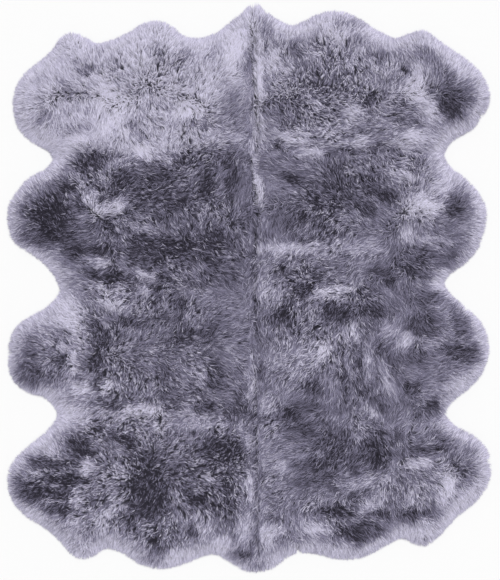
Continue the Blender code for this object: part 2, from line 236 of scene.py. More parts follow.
# Shading of a lock
SPLAY = 0.5  # turns the normals at a lock's two sides apart, which rounds it
FACING = 0.55  # share of its own normal
LEVEL = 0.45  # share of the normal of the wool's top there

# What chance decides for one lock, and for a staple or a tuft together
LockLuck = namedtuple("LockLuck", "turn length draw edge depth mix width root bend twist wisp")
GroupLuck = namedtuple("GroupLuck", "tone opening turn length")

# Swell of the wool's top
RELIEF = 0.003
RELIEF_SPAN = 0.05
PATCH_RELIEF = 0.004

# Stage
PICTURE_MIDDLE = (0.0018, 0.0007)  # the place that is in the middle of the photograph
SENSOR_WIDTH = 36  # of a full-frame camera, in millimetres
FLOOR_SIZE = 200  # wide enough for the floor's edge to stay out of a low view
LAMP_PLACE = (0.5, 0.9, 3.0)  # the lamp shines from here to the rug's middle
LAMP_ANGLE = 35  # degrees across, for soft shadows
LAMP_STRENGTH = 2.4
WORLD_STRENGTH = 0.36

# Tufts that show lighter or darker, read from the photograph. The columns are x and y,
# centimetres from the middle of the rug, long and wide, its size in centimetres, turn, the degrees
# from +X to its long side, and tone, from -3, wool open to its dark roots, to +3, pale tips combed
# flat.
# The patches' tone is partly the wool's own and partly painted light and shade: tips combed flat are
# painted pale where they catch the light, and open wool is painted dark where shade falls into it.
Patch = namedtuple("Patch", "x y long wide turn tone")
PATCH_ROWS = (
    # beside the parting
    (3.2, 82, 40, 3, 90, 0.6), (0.0, 78, 46, 3.0, 90, -0.5), (3.0, 36, 30, 2.6, 90, 0.6),
    (0.8, -28, 34, 2.0, 90, 0.4),
    # left 1
    (-41, 97, 6, 4, 0, -1.5), (-15, 94, 9, 4, 0, -1.1), (-6, 92, 13, 7, 80, 2.0),
    (-56, 89, 5, 4, 90, -1.5), (-13, 89, 10, 9, 0, -1.2), (-57, 88, 6, 5, 0, -2.2),
    (-32, 88, 7, 6, 0, -1.3), (-24, 87, 5, 8, 0, -1.2), (-5, 87, 14, 5, 65, 1.8),
    (-66, 86, 12, 6, 0, -1.6), (-64, 86, 6, 5, 0, 1.5), (-25, 85, 10, 4, 45, -1.6),
    (-18, 85, 8, 4, 0, -1.4), (-41, 84, 8, 9, 0, 0.8), (-60, 82, 8, 5, 0, -2.0),
    (-50, 80, 12, 5, 100, -1.4), (-1, 80, 12, 4, 90, -1.1), (-77, 79, 8, 8, 0, -1.3),
    (-36, 76, 5, 4, 0, 2.0), (-67, 73, 5, 6, 0, -1.4), (-28, 73, 8, 4, 0, 1.3),
    (-16, 73, 14, 5, 80, 1.0), (-51, 71, 13, 7, 110, 2.2), (-54, 70, 9, 7, 130, 1.6),
    (-47, 69, 9, 5, 0, 1.1), (-4, 69, 14, 8, 90, -1.0), (-50, 68, 8, 5, 0, 1.1),
    (-8, 67, 8, 12, 0, -1.4), (-22, 66, 8, 6, 0, 3.0), (-22, 66, 5, 8, 0, 1.8),
    (-77, 62, 9, 4, 35, -2.0), (-48, 62, 6, 9, 0, 0.9), (-1, 62, 12, 4, 90, -1.0),
    (-44, 61, 5, 3, 0, -2.5), (-18, 61, 9, 6, 0, -1.6), (-54, 60, 6, 7, 0, 1.4),
    (-63, 59, 16, 3, 0, -1.0), (-6, 59, 12, 6, 5, -1.2), (-40, 57, 6, 4, 0, -1.7),
    (-62, 56, 6, 4, 0, 1.5),
    # left 2
    (-39, 52, 6, 4, 0, 2.6), (-56, 50, 16, 3, 0, -1.2), (1, 50, 10, 3, 90, 1.5),
    (-44, 49, 8, 7, 0, 1.3), (-60, 48, 10, 7, 0, -1.5), (-31, 48, 9, 3, -15, 2.4),
    (-72, 47, 14, 5, 50, 2.0), (-22, 47, 8, 6, 0, -1.3), (-50, 46, 6, 4, 0, 1.5),
    (-7, 43, 18, 4, 90, -1.5), (-53, 42, 6, 4, 90, 1.5), (-32, 42, 12, 9, 90, -1.5),
    (-47, 41, 9, 6, 0, -1.5), (-72, 39, 8, 4, 0, -1.2), (-67, 38, 7, 3, 0, -2.0),
    (-63, 38, 11, 4, -10, -1.4), (-16, 38, 9, 5, 90, -2.2), (-39, 37, 8, 6, 0, -1.0),
    (-60, 36, 15, 5, 125, 2.8), (-51, 34, 12, 3, 15, -1.2), (-34, 33, 20, 6, 0, -1.2),
    (-26, 32, 8, 5, 0, -1.5), (-84, 30, 5, 8, 0, -1.8), (-69, 30, 14, 4, 105, -1.2),
    (-53, 29, 15, 5, 20, 2.8), (-47, 28, 12, 5, 90, 1.3), (-75, 27, 16, 12, 100, -3.0),
    (-32, 26, 8, 6, 0, -1.1), (-40, 23, 9, 3, -10, 2.0), (-49, 22, 7, 6, 0, -1.3),
    (-84, 21, 8, 5, 0, -2.0), (-13, 20, 8, 7, 0, -1.5), (-4, 20, 5, 9, 20, 1.1),
    (-82, 19, 10, 3, 0, -1.4), (-66, 19, 14, 8, 90, -1.2), (-77, 18, 14, 5, 0, -1.8),
    (-8, 18, 8, 6, 0, -1.2), (-47, 17, 14, 9, 90, 0.8), (-78, 16, 7, 6, 0, -1.7),
    (-58, 15, 13, 3, 0, -2.0), (-33, 15, 32, 10, 0, -1.9), (-62, 13, 7, 3, 0, -1.6),
    (-54, 11, 12, 4, -10, 2.2), (-12, 9, 9, 4, 20, -1.5), (-39, 6, 7, 2, -28, 3.0),
    (-52, 5, 14, 3, -10, -2.2), (-32, 3, 6, 4, 0, -1.5), (-55, 1, 9, 3, -20, 2.0),
    (-50, 0, 9, 3, 0, 1.6),
    # left 3
    (-38, 0, 6, 2, -30, 2.0), (-34, -2, 7, 6, 90, -2.0), (-26, -4, 9, 4, 90, -2.0),
    (-50, -5, 9, 4, -15, 3.0), (-68, -7, 10, 8, 0, -0.8), (-67, -8, 10, 9, 0, 3.0),
    (-32, -11, 14, 3, 5, -1.3), (-57, -12, 8, 4, 0, -1.5), (-44, -12, 12, 4, 0, -1.5),
    (-67, -13, 14, 4, -10, 1.5), (-53, -13, 9, 2, -48, 2.0), (-16, -15, 15, 3, 0, -1.5),
    (-70, -17, 5, 4, 0, -1.5), (-64, -17, 5, 5, 0, 1.5), (-54, -17, 10, 9, 0, -1.8),
    (-83, -18, 8, 5, 0, -1.3), (-73, -18, 9, 6, 90, 1.0), (-24, -20, 10, 4, 0, -1.5),
    (-68, -21, 9, 3, -70, 2.0), (-61, -22, 10, 4, 0, 1.2), (-7, -23, 9, 6, 90, 1.0),
    (-87, -26, 20, 5, 100, -1.4), (-80, -26, 5, 4, 0, 1.7), (-70, -26, 7, 5, 0, -2.2),
    (-57, -26, 8, 7, 90, -2.7), (-72, -27, 6, 5, 0, 1.2), (-65, -27, 8, 3, 90, 2.2),
    (-81, -28, 14, 6, 100, -2.5), (-32, -30, 12, 5, 120, -1.0), (-18, -30, 9, 5, 0, 1.0),
    (-86, -31, 9, 5, 90, -1.5), (-13, -31, 7, 8, 0, -1.3), (-76, -32, 8, 5, 0, -1.4),
    (-73, -34, 8, 5, 0, -1.7), (-56, -34, 6, 3, 60, -1.8), (-82, -35, 9, 5, -25, -1.9),
    (1, -35, 12, 3, 90, 1.3), (-71, -36, 6, 5, 0, 1.3), (-62, -36, 6, 5, 0, 2.0),
    (-53, -36, 5, 2, 0, 3.0), (-13, -36, 12, 4, 0, -1.2), (-60, -38, 20, 4, 0, 1.0),
    (-22, -38, 9, 4, 0, -1.1), (-54, -41, 8, 4, 0, -1.2), (-47, -41, 9, 3, 25, -1.5),
    (-2, -42, 10, 5, 90, -1.3), (-29, -43, 6, 4, 0, -1.4), (-15, -43, 6, 3, 0, -2.0),
    (-6, -44, 10, 5, 90, -1.2), (-65, -45, 15, 8, 0, 2.0), (-53, -45, 7, 5, 0, 1.3),
    (-42, -45, 14, 4, 12, 2.6), (-33, -45, 7, 5, 0, 2.2), (-22, -46, 14, 4, 0, 1.0),
    (-32, -50, 8, 4, 0, 1.9), (-18, -50, 12, 3, 0, 1.3),
    # left 4
    (-57, -51, 4, 3, 0, -2.5), (-76, -54, 14, 6, 35, 1.5), (-47, -55, 12, 5, -15, -2.5),
    (-64, -56, 9, 6, 0, -2.5), (0, -57, 7, 4, 90, 2.0), (-10, -59, 17, 10, 0, -2.5),
    (-61, -60, 6, 3, 0, -3.0), (-33, -60, 7, 6, 0, -1.3), (-72, -61, 8, 5, 100, 1.6),
    (-41, -61, 13, 5, 0, -1.6), (-15, -61, 10, 5, 0, 1.0), (-78, -63, 11, 4, 0, -3.0),
    (-67, -64, 6, 4, 0, -1.5), (-70, -65, 9, 3, 0, -1.6), (-60, -65, 7, 5, 60, 2.0),
    (-72, -66, 7, 3, 0, -1.6), (-33, -66, 5, 7, 0, -1.3), (-25, -66, 14, 7, 0, -1.3),
    (-58, -67, 9, 4, 10, 1.5), (-48, -67, 5, 5, 0, 1.3), (-57, -68, 8, 3, 25, -1.4),
    (-12, -68, 6, 5, -50, -1.5), (-86, -69, 7, 4, 90, -1.5), (-15, -69, 6, 2, -20, 2.5),
    (-68, -70, 18, 3, -3, -2.6), (-86, -73, 9, 6, 110, -2.0), (-46, -73, 6, 5, 0, -1.4),
    (-69, -74, 8, 3, -20, -1.4), (0, -74, 11, 3, 95, 2.2), (-80, -75, 9, 9, 0, -3.0),
    (-22, -75, 8, 3, -40, -2.0), (-8, -75, 16, 3, -80, -2.3), (-71, -76, 9, 4, 0, -2.4),
    (-38, -76, 22, 15, 100, -2.8), (-13, -76, 6, 4, 0, -1.4), (-82, -77, 6, 4, 0, -1.4),
    (-64, -77, 7, 4, 90, 1.5), (-19, -78, 7, 4, 0, -2.2), (-72, -79, 6, 6, 0, 1.3),
    (-51, -80, 9, 5, 45, 1.5), (-17, -80, 8, 5, 0, -1.2), (-72, -81, 12, 4, 0, -2.7),
    (-79, -82, 6, 5, 0, 1.8), (-12, -82, 6, 5, 90, -1.2), (-68, -83, 5, 4, 0, -1.6),
    (-55, -85, 10, 6, 90, 1.4), (-45, -86, 9, 5, -60, -1.5), (-33, -86, 5, 8, 0, 1.2),
    (-16, -86, 9, 5, 90, 1.0), (-2, -87, 9, 5, 90, 2.2), (-64, -88, 10, 6, 90, 1.3),
    (-38, -88, 7, 5, 0, 1.3), (-21, -90, 5, 6, 75, -1.5), (-10, -92, 6, 5, 0, 2.0),
    (-35, -93, 6, 4, 60, -2.5), (-34, -97, 5, 4, 0, -1.8), (-60, -98, 10, 3, 0, -1.6),
    (-22, -98, 15, 6, 0, 2.8), (-4, -98, 8, 4, 0, -3.0), (-37, -101, 8, 3, 0, -1.5),
    (-35, -101, 12, 3, 0, -1.2), (0, -103, 12, 3, 0, -2.2),
    # right 1
    (2, 104, 6, 4, 0, -1.9), (6, 99, 6, 5, 0, -1.3), (38, 99, 15, 4, -5, -1.9),
    (42, 99, 7, 3, 0, -1.8), (6, 98, 9, 6, 90, -1.3), (26, 98, 7, 3, 0, 1.5),
    (32, 95, 6, 5, 0, 2.2), (42, 92, 6, 4, 0, -1.4), (9, 91, 6, 6, 0, -1.1),
    (17, 91, 8, 4, 45, -1.8), (32, 91, 6, 4, 60, 1.5), (19, 88, 7, 3, -40, -2.0),
    (24, 87, 8, 4, 0, 1.2), (57, 87, 10, 3, 0, -1.2), (8, 86, 12, 5, 80, 2.0),
    (49, 86, 7, 6, 0, -2.2), (66, 85, 11, 5, -50, -2.6), (37, 84, 5, 4, 90, 1.6),
    (64, 83, 6, 7, 0, 1.6), (12, 82, 6, 6, 0, 1.3), (76, 82, 9, 5, 100, 1.5),
    (58, 81, 5, 4, 0, -2.4), (4, 80, 20, 2, 90, 2.0), (73, 79, 8, 5, 0, -1.2),
    (86, 79, 8, 6, -60, -1.6), (30, 76, 30, 20, 0, -1.0), (45, 76, 9, 7, -60, 1.1),
    (61, 74, 12, 8, 90, 2.0), (17, 73, 7, 6, -40, 1.9), (50, 73, 6, 8, 0, -1.3),
    (57, 71, 6, 4, 90, -1.6), (63, 71, 9, 5, 100, 1.2), (32, 70, 13, 4, 0, 1.0),
    (77, 70, 15, 13, 0, -2.3), (25, 69, 8, 6, 90, 2.0), (27, 69, 5, 5, 0, -1.7),
    (45, 69, 8, 3, 85, -2.2), (74, 68, 7, 5, -60, -1.2), (57, 67, 14, 6, 20, -1.0),
    (14, 66, 16, 9, 0, -1.5), (39, 66, 7, 5, 0, 1.3), (67, 66, 7, 5, 100, 2.0),
    (84, 66, 9, 4, 60, 1.2), (37, 65, 5, 5, 0, 1.4), (74, 65, 8, 5, -20, -1.4),
    (60, 61, 8, 4, 0, -2.0), (14, 60, 8, 3, 0, -1.6), (41, 58, 10, 3, 5, -1.6),
    (61, 58, 8, 6, -40, 2.5), (59, 57, 5, 5, 0, 1.3), (14, 56, 10, 4, -5, 2.4),
    (20, 56, 6, 5, 90, 1.2), (40, 54, 10, 3, 0, 2.0), (56, 53, 8, 4, 0, 1.3),
    (72, 53, 6, 5, 0, 1.2), (72, 53, 6, 8, 0, 1.2), (43, 52, 18, 4, 0, -2.4),
    # right 2
    (10, 53, 5, 3, 0, -2.0), (23, 51, 9, 3, 0, 2.0), (30, 51, 6, 3, 0, -1.8),
    (63, 50, 5, 4, 0, 1.6), (41, 49, 8, 4, 0, 1.3), (63, 49, 7, 5, 0, -2.0),
    (40, 45, 8, 4, 0, 1.8), (57, 43, 9, 3, -25, 2.7), (15, 42, 7, 3, 0, -1.5),
    (19, 40, 8, 7, 0, -1.5), (38, 40, 22, 18, 0, -1.8), (72, 40, 8, 4, 90, 1.5),
    (79, 40, 5, 5, 0, -1.9), (67, 38, 11, 3, -30, 1.2), (3, 36, 12, 3, 90, 2.4),
    (72, 36, 5, 4, 0, 1.6), (23, 34, 5, 4, 90, -1.8), (51, 34, 8, 6, -30, -3.0),
    (29, 33, 8, 4, -30, -1.2), (18, 32, 6, 6, 0, -1.1), (77, 32, 9, 9, 0, -2.0),
    (24, 31, 4, 4, 0, -2.0), (63, 31, 13, 9, 0, 3.0), (67, 31, 7, 6, 0, 1.5),
    (28, 28, 13, 7, 30, -1.2), (44, 28, 6, 5, 0, -2.2), (19, 27, 4, 4, 0, -2.0),
    (56, 27, 6, 5, 0, 1.8), (13, 26, 9, 8, 90, -1.0), (27, 23, 5, 3, 0, -2.0),
    (4, 22, 5, 6, 0, -1.4), (59, 21, 5, 5, 0, 2.0), (28, 19, 12, 5, 10, -1.9),
    (65, 19, 9, 4, 0, 1.2), (18, 18, 8, 3, 0, -1.4), (18, 16, 30, 4, 2, 2.2),
    (43, 15, 18, 3, 0, 1.3), (79, 14, 9, 5, 60, -1.2), (3, 13, 12, 3, 0, -1.6),
    (74, 13, 7, 5, 90, -1.8), (7, 12, 12, 5, 0, 1.1), (66, 11, 26, 8, 0, -1.5),
    (73, 9, 6, 4, 0, -1.6), (48, 7, 10, 4, -15, -1.6), (13, 6, 7, 4, 90, -1.5),
    (22, 6, 10, 8, 0, -1.3), (61, 6, 14, 3, -5, -1.5), (20, 4, 5, 5, 0, 1.7),
    (47, 4, 9, 5, 0, -1.0), (51, 3, 4, 3, 0, -2.0), (70, 2, 5, 3, 0, 2.0), (68, -1, 8, 3, 0, -1.5),
    # right 3
    (35, 1, 6, 3, 0, 1.6), (19, 0, 6, 5, 0, -2.0), (44, 0, 8, 3, 0, -1.6), (7, -1, 11, 6, 0, 1.0),
    (29, -1, 13, 3, 15, 2.0), (21, -2, 5, 4, 60, -1.7), (31, -3, 7, 5, 0, 1.6),
    (65, -3, 9, 6, 0, -1.5), (70, -3, 7, 5, -60, -1.5), (14, -6, 6, 4, 90, -1.8),
    (45, -8, 11, 6, 0, -1.8), (76, -8, 15, 6, -60, -2.5), (78, -8, 10, 6, -60, -1.2),
    (32, -9, 11, 7, 0, -2.3), (12, -10, 8, 5, 20, -2.8), (64, -12, 10, 8, 0, -1.5),
    (17, -14, 8, 5, 0, -1.1), (53, -14, 8, 4, 40, 1.6), (39, -15, 6, 2, -60, 3.0),
    (78, -16, 6, 4, 0, -1.8), (36, -17, 9, 5, 0, 1.2), (57, -18, 7, 5, 30, 2.2),
    (65, -19, 11, 4, 0, 1.3), (27, -21, 6, 5, -30, 1.2), (47, -21, 6, 5, 90, -1.6),
    (83, -21, 6, 4, 0, -1.8), (28, -22, 4, 3, 0, 3.0), (79, -22, 16, 4, -8, -2.3),
    (22, -23, 15, 7, 0, 1.0), (26, -24, 10, 3, 50, 1.8), (76, -25, 9, 3, -5, -1.5),
    (11, -26, 8, 7, -60, 1.2), (44, -26, 12, 3, 90, 1.8), (60, -26, 9, 7, 0, -1.5),
    (82, -26, 6, 5, 0, -2.0), (82, -27, 10, 4, 15, -2.0), (40, -28, 11, 2, 90, -1.8),
    (59, -28, 7, 6, 0, 1.5), (17, -29, 7, 5, 0, 1.2), (52, -30, 12, 4, -75, -1.3),
    (4, -31, 6, 4, 90, -1.5), (35, -33, 14, 2, 90, -2.0), (51, -33, 13, 5, -65, 2.3),
    (23, -35, 8, 6, 90, -1.8), (76, -35, 8, 5, 30, 1.5), (59, -36, 8, 4, 30, -2.0),
    (42, -38, 6, 4, 90, -1.6), (74, -38, 5, 3, 0, -1.8), (22, -42, 14, 4, 0, -0.9),
    (7, -43, 9, 5, 90, 1.0), (48, -43, 7, 4, 90, -2.4), (68, -44, 8, 7, 90, -2.4),
    (14, -45, 6, 4, 0, -2.5), (21, -45, 12, 3, 10, -1.5), (70, -46, 9, 4, -70, -1.5),
    (45, -49, 12, 4, -40, -1.6),
    # right 4
    (42, -46, 12, 5, 0, 1.0), (5, -47, 9, 3, 0, -1.3), (62, -47, 7, 4, 0, -1.3),
    (46, -48, 10, 5, 90, 1.3), (19, -51, 14, 7, -10, -1.8), (78, -51, 12, 3, -20, -1.2),
    (70, -53, 9, 4, -20, -2.0), (54, -54, 5, 6, 0, -1.8), (24, -56, 10, 6, 0, -1.2),
    (73, -57, 10, 5, 0, -1.5), (32, -58, 16, 10, 90, -2.0), (65, -58, 7, 3, 0, 1.6),
    (82, -58, 5, 4, 0, -1.5), (66, -59, 14, 4, 0, -2.0), (46, -60, 12, 10, 90, -2.3),
    (60, -61, 14, 5, 0, -0.8), (22, -64, 10, 4, 0, -1.8), (39, -64, 8, 5, 90, -1.7),
    (62, -64, 9, 3, 0, 2.5), (9, -65, 12, 7, 0, 1.0), (87, -65, 10, 4, 90, 1.1),
    (27, -66, 8, 6, 0, -1.3), (44, -67, 6, 5, 90, 1.3), (44, -67, 9, 4, 0, -1.5),
    (72, -67, 8, 6, 0, 1.6), (80, -67, 9, 6, 0, -1.0), (5, -68, 7, 4, 80, -1.5),
    (24, -70, 22, 4, 0, -1.3), (40, -71, 10, 4, 0, 1.3), (52, -71, 5, 4, 0, 1.5),
    (75, -71, 7, 5, 90, 2.0), (73, -74, 10, 5, 60, 3.0), (40, -75, 8, 3, 0, -1.4),
    (66, -75, 8, 5, 90, 1.2), (48, -76, 5, 4, 90, 1.5), (60, -76, 9, 4, 75, 1.5),
    (79, -79, 17, 6, 50, 3.0), (44, -80, 9, 3, 35, 1.5), (4, -81, 7, 5, 0, 1.2),
    (31, -82, 15, 4, 0, -2.4), (49, -83, 7, 5, -40, -2.0), (61, -83, 15, 5, 0, -2.0),
    (21, -86, 10, 3, 0, 1.2), (65, -87, 8, 6, 0, 1.3), (9, -88, 11, 5, 0, 1.8),
    (24, -88, 9, 4, 0, 1.8), (38, -88, 9, 5, 30, -1.4), (64, -89, 13, 4, -3, 3.0),
    (43, -90, 14, 8, 0, -2.5), (6, -91, 6, 4, 90, 2.0), (18, -92, 17, 5, 15, -1.5),
    (33, -92, 12, 4, 0, -1.5), (45, -94, 8, 5, 0, 1.3), (64, -94, 9, 2, 0, -2.0),
    (65, -94, 10, 3, 0, -1.5), (3, -103, 9, 5, 0, -2.4), (2, -104, 6, 3, 0, -2.0),
)
PATCHES = [Patch(*row) for row in PATCH_ROWS]

# Which way the wool lies, read from the photograph. The columns are x and y, centimetres
# from the middle of the rug, and the degrees from +X to the way that the tips point. On most pelts
# the wool parts along the back and falls to both seams.
LAY_MARKS = (
    # left 1
    (-67, 97, 100), (-72, 88, 130), (-80, 80, 135), (-84, 70, 170), (-82, 62, 205), (-70, 78, 125),
    (-60, 80, 115), (-50, 80, 125), (-50, 75, 130), (-45, 84, 105), (-40, 88, 100), (-52, 88, 110),
    (-35, 92, 80), (-33, 84, 50), (-28, 80, 45), (-25, 88, 50), (-20, 82, 60), (-15, 90, 65),
    (-10, 84, 65), (-12, 76, 35), (-5, 76, 45), (-2, 88, 85), (-22, 75, 80), (-60, 65, 300),
    (-70, 65, 290), (-32, 65, 310), (-25, 66, 275), (-42, 66, 270), (-45, 60, 290), (-38, 60, 320),
    (-28, 57, 240), (-52, 62, 240), (-20, 60, 280), (-10, 66, 40), (-5, 60, 30), (-15, 55, 15),
    # left 2
    (-75, 44, 135), (-68, 47, 140), (-80, 38, 140), (-86, 30, 165), (-86, 22, 180), (-81, 17, 170),
    (-68, 8, 140), (-62, 12, 165), (-55, 9, 165), (-50, 14, 350), (-60, 20, 165), (-70, 30, 125),
    (-65, 38, 130), (-58, 45, 110), (-50, 43, 60), (-57, 38, 140), (-52, 30, 30), (-45, 33, 20),
    (-40, 42, 340), (-38, 35, 20), (-30, 38, 20), (-30, 46, 350), (-20, 42, 35), (-12, 45, 40),
    (-20, 35, 35), (-10, 38, 50), (-5, 30, 60), (-48, 25, 340), (-38, 22, 340), (-30, 26, 280),
    (-22, 27, 275), (-14, 27, 265), (-30, 19, 350), (-16, 18, 320), (-22, 11, 330), (-10, 10, 350),
    (-5, 18, 300), (-40, 8, 335), (-30, 5, 345), (-15, 4, 290), (-50, 3, 350), (-60, 2, 180),
    (-54, 21, 240), (-54, 16, 250), (-53, 10, 255), (-55, 3, 240),
    # left 3
    (-70, -6, 150), (-80, -12, 150), (-62, -10, 140), (-55, -11, 135), (-50, -5, 60),
    (-45, -10, 65), (-40, -3, 60), (-33, -6, 65), (-27, -9, 78), (-20, -14, 65), (-15, -5, 50),
    (-10, -10, 25), (-5, -20, 10), (-35, -15, 60), (-45, -17, 45), (-50, -22, 20), (-38, -25, 340),
    (-60, -20, 160), (-68, -20, 130), (-76, -16, 210), (-82, -25, 175), (-82, -32, 190),
    (-70, -30, 250), (-60, -33, 200), (-65, -39, 215), (-52, -29, 240), (-45, -36, 300),
    (-38, -37, 250), (-20, -30, 310), (-30, -28, 320), (-10, -27, 330), (-10, -40, 335),
    (-25, -41, 350), (-42, -44, 205), (-52, -44, 215), (-65, -46, 215), (-58, -42, 240),
    # left 4
    (-76, -56, 145), (-66, -56, 110), (-58, -52, 150), (-70, -63, 170), (-72, -67, 175),
    (-82, -68, 175), (-60, -66, 170), (-56, -63, 150), (-50, -67, 130), (-45, -62, 120),
    (-75, -73, 215), (-82, -76, 200), (-66, -74, 205), (-70, -80, 220), (-60, -72, 190),
    (-50, -78, 220), (-60, -81, 210), (-60, -89, 220), (-70, -88, 220), (-64, -95, 250),
    (-54, -92, 265), (-50, -86, 240), (-43, -85, 240), (-35, -84, 245), (-43, -94, 230),
    (-30, -92, 240), (-22, -95, 240), (-30, -80, 280), (-25, -74, 310), (-20, -70, 330),
    (-15, -70, 320), (-18, -64, 30), (-30, -64, 45), (-22, -58, 45), (-10, -58, 50), (-10, -64, 55),
    (-40, -75, 240), (-33, -73, 250), (-25, -85, 285), (-20, -84, 260), (-14, -84, 265),
    (-14, -77, 280), (-5, -70, 300), (-5, -80, 280), (-10, -92, 250), (-3, -96, 260),
    # right 1
    (5, 85, 150), (10, 78, 140), (10, 85, 115), (15, 85, 95), (22, 87, 125), (25, 80, 110),
    (30, 85, 120), (20, 95, 65), (28, 95, 110), (35, 95, 85), (42, 95, 70), (5, 75, 130),
    (20, 78, 120), (30, 78, 100), (40, 78, 95), (40, 85, 100), (45, 78, 150), (50, 76, 60),
    (54, 76, 55), (60, 77, 50), (58, 85, 125), (66, 90, 80), (75, 86, 55), (68, 80, 100),
    (75, 78, 20), (82, 78, 40), (86, 70, 0), (83, 62, 340), (78, 65, 310), (70, 66, 325),
    (64, 67, 320), (60, 68, 300), (55, 66, 340), (46, 68, 310), (38, 67, 350), (30, 70, 345),
    (22, 71, 330), (20, 66, 285), (14, 67, 290), (26, 66, 320), (10, 62, 335), (5, 62, 340),
    (18, 57, 335), (30, 56, 0), (42, 55, 0), (45, 60, 15), (60, 62, 350), (58, 56, 340),
    # right 2
    (10, 45, 150), (20, 42, 150), (25, 35, 160), (30, 40, 120), (35, 45, 90), (40, 42, 97),
    (45, 45, 110), (50, 35, 100), (45, 33, 130), (40, 29, 140), (46, 26, 150), (50, 29, 160),
    (55, 28, 130), (60, 33, 30), (65, 31, 340), (60, 43, 155), (55, 45, 150), (52, 40, 160),
    (65, 40, 38), (70, 40, 45), (74, 35, 50), (80, 38, 60), (80, 30, 30), (75, 22, 10),
    (70, 25, 320), (65, 20, 345), (75, 15, 330), (80, 12, 315), (60, 15, 350), (52, 17, 225),
    (45, 17, 190), (38, 17, 200), (33, 19, 290), (40, 12, 240), (46, 11, 240), (30, 13, 190),
    (25, 22, 235), (20, 22, 225), (30, 23, 255), (10, 20, 320), (5, 20, 270), (15, 17, 260),
    (10, 11, 240), (5, 5, 200), (20, 5, 150), (35, 4, 180), (55, 4, 205), (65, 3, 345),
    (57, 24, 290), (56, 17, 285), (61, 24, 290), (57, 10, 285), (60, 5, 280),
    # right 3
    (27, -2, 220), (10, -5, 240), (15, -8, 235), (20, -12, 235), (15, -16, 260), (30, -6, 225),
    (35, -8, 245), (40, -5, 210), (45, -2, 335), (45, -8, 330), (50, -3, 320), (35, -12, 210),
    (40, -15, 290), (43, -15, 280), (52, -14, 220), (57, -9, 240), (58, -18, 250), (70, -10, 340),
    (75, -4, 40), (81, -10, 30), (70, -18, 350), (80, -16, 355), (85, -22, 10), (75, -26, 25),
    (70, -26, 30), (62, -25, 340), (65, -37, 10), (75, -35, 350), (81, -30, 330), (75, -41, 325),
    (30, -20, 300), (26, -23, 240), (12, -25, 230), (10, -31, 245), (20, -30, 235), (15, -36, 240),
    (34, -26, 255), (38, -30, 285), (43, -26, 290), (47, -31, 300), (52, -37, 295), (45, -38, 270),
    (38, -38, 255), (30, -38, 250), (10, -42, 245), (5, -43, 220), (5, -48, 200), (15, -47, 215),
    (22, -44, 200), (38, -44, 280), (46, -45, 280), (60, -46, 210), (66, -44, 230),
    # right 4
    (10, -58, 200), (20, -55, 195), (10, -68, 205), (20, -65, 220), (30, -62, 230), (40, -60, 225),
    (47, -60, 225), (50, -56, 310), (45, -52, 330), (20, -70, 213), (10, -75, 215), (20, -75, 218),
    (30, -79, 225), (35, -71, 195), (15, -82, 290), (20, -85, 310), (25, -88, 300), (30, -85, 310),
    (40, -80, 330), (35, -86, 340), (40, -88, 320), (45, -86, 325), (10, -90, 255), (5, -97, 225),
    (5, -91, 240), (35, -96, 290), (45, -95, 270), (47, -70, 235), (50, -78, 290), (55, -75, 280),
    (58, -70, 290), (60, -72, 300), (68, -75, 280), (75, -71, 295), (81, -76, 310), (62, -88, 305),
    (68, -88, 300), (61, -62, 348), (63, -66, 350), (56, -60, 245), (76, -62, 90), (81, -60, 20),
    (72, -82, 315), (66, -54, 60), (85, -66, 350),
)

# Where the wool stands open, with dark gaps between its staples, and where it lies sleek. The
# columns are x and y in centimetres, and how open it is beside the rest.
STANDS = (
    (-80, 70, -0.4), (-59, 56, -0.45), (-56, 76, 0.1), (-34, 76, 0.35), (-22, 57, 0.35),
    (-5, 62, -0.4), (-8, 90, -0.1), (24, 76, 0.4), (36, 60, 0.05), (52, 74, 0.2), (72, 56, -0.3),
    (72, 76, -0.15), (12, 92, 0.0), (-82, 28, 0.1), (-60, 38, 0.25), (-38, 30, 0.0),
    (-55, 18, -0.25), (-18, 22, 0.15), (2, 32, -0.3), (18, 36, -0.2), (34, 37, 0.15),
    (34, 18, 0.2), (52, 18, -0.3), (74, 22, -0.3), (62, 40, 0.0), (-40, 0, 0.25),
    (-20, -4, -0.25), (0, -12, -0.25), (16, -19, 0.45), (34, -6, 0.05), (54, -6, -0.4),
    (52, -34, -0.5), (32, -40, -0.3), (10, -38, -0.3), (74, -20, -0.1), (-58, -22, 0.0),
    (-36, -24, -0.1), (-40, -38, 0.4), (-22, -40, 0.0), (-60, -44, 0.1), (-80, -26, 0.1),
    (-40, -58, 0.35), (-60, -70, 0.3), (-38, -80, 0.3), (-10, -72, 0.35), (-22, -90, 0.1),
    (-3, -92, -0.2), (15, -58, -0.1), (32, -62, 0.0), (50, -60, -0.2), (30, -82, 0.0),
    (25, -94, -0.2), (52, -76, -0.1), (72, -68, 0.05), (60, -84, -0.1),
)
STANDS_REACH = 0.13
STANDS_USUAL = 0.2  # weight of the rest, which thins what lies far from every one of them

# How light each pelt's wool is, beside the others
SHADES = {
    "pelt_left_1": 0.84,
    "pelt_left_2": -0.30,
    "pelt_left_3": -0.1,
    "pelt_left_4": -0.12,
    "pelt_right_1": 0.24,
    "pelt_right_2": 0.0,
    "pelt_right_3": -0.1,
    "pelt_right_4": 0.02,
}


def from_hex(text):
    """An sRGB hex colour as linear red, green, blue and alpha."""
    parts = [int(text[k : k + 2], 16) / 255 for k in (1, 3, 5)]
    linear = [c / 12.92 if c <= 0.04045 else ((c + 0.055) / 1.055) ** 2.4 for c in parts]
    return (*linear, 1.0)


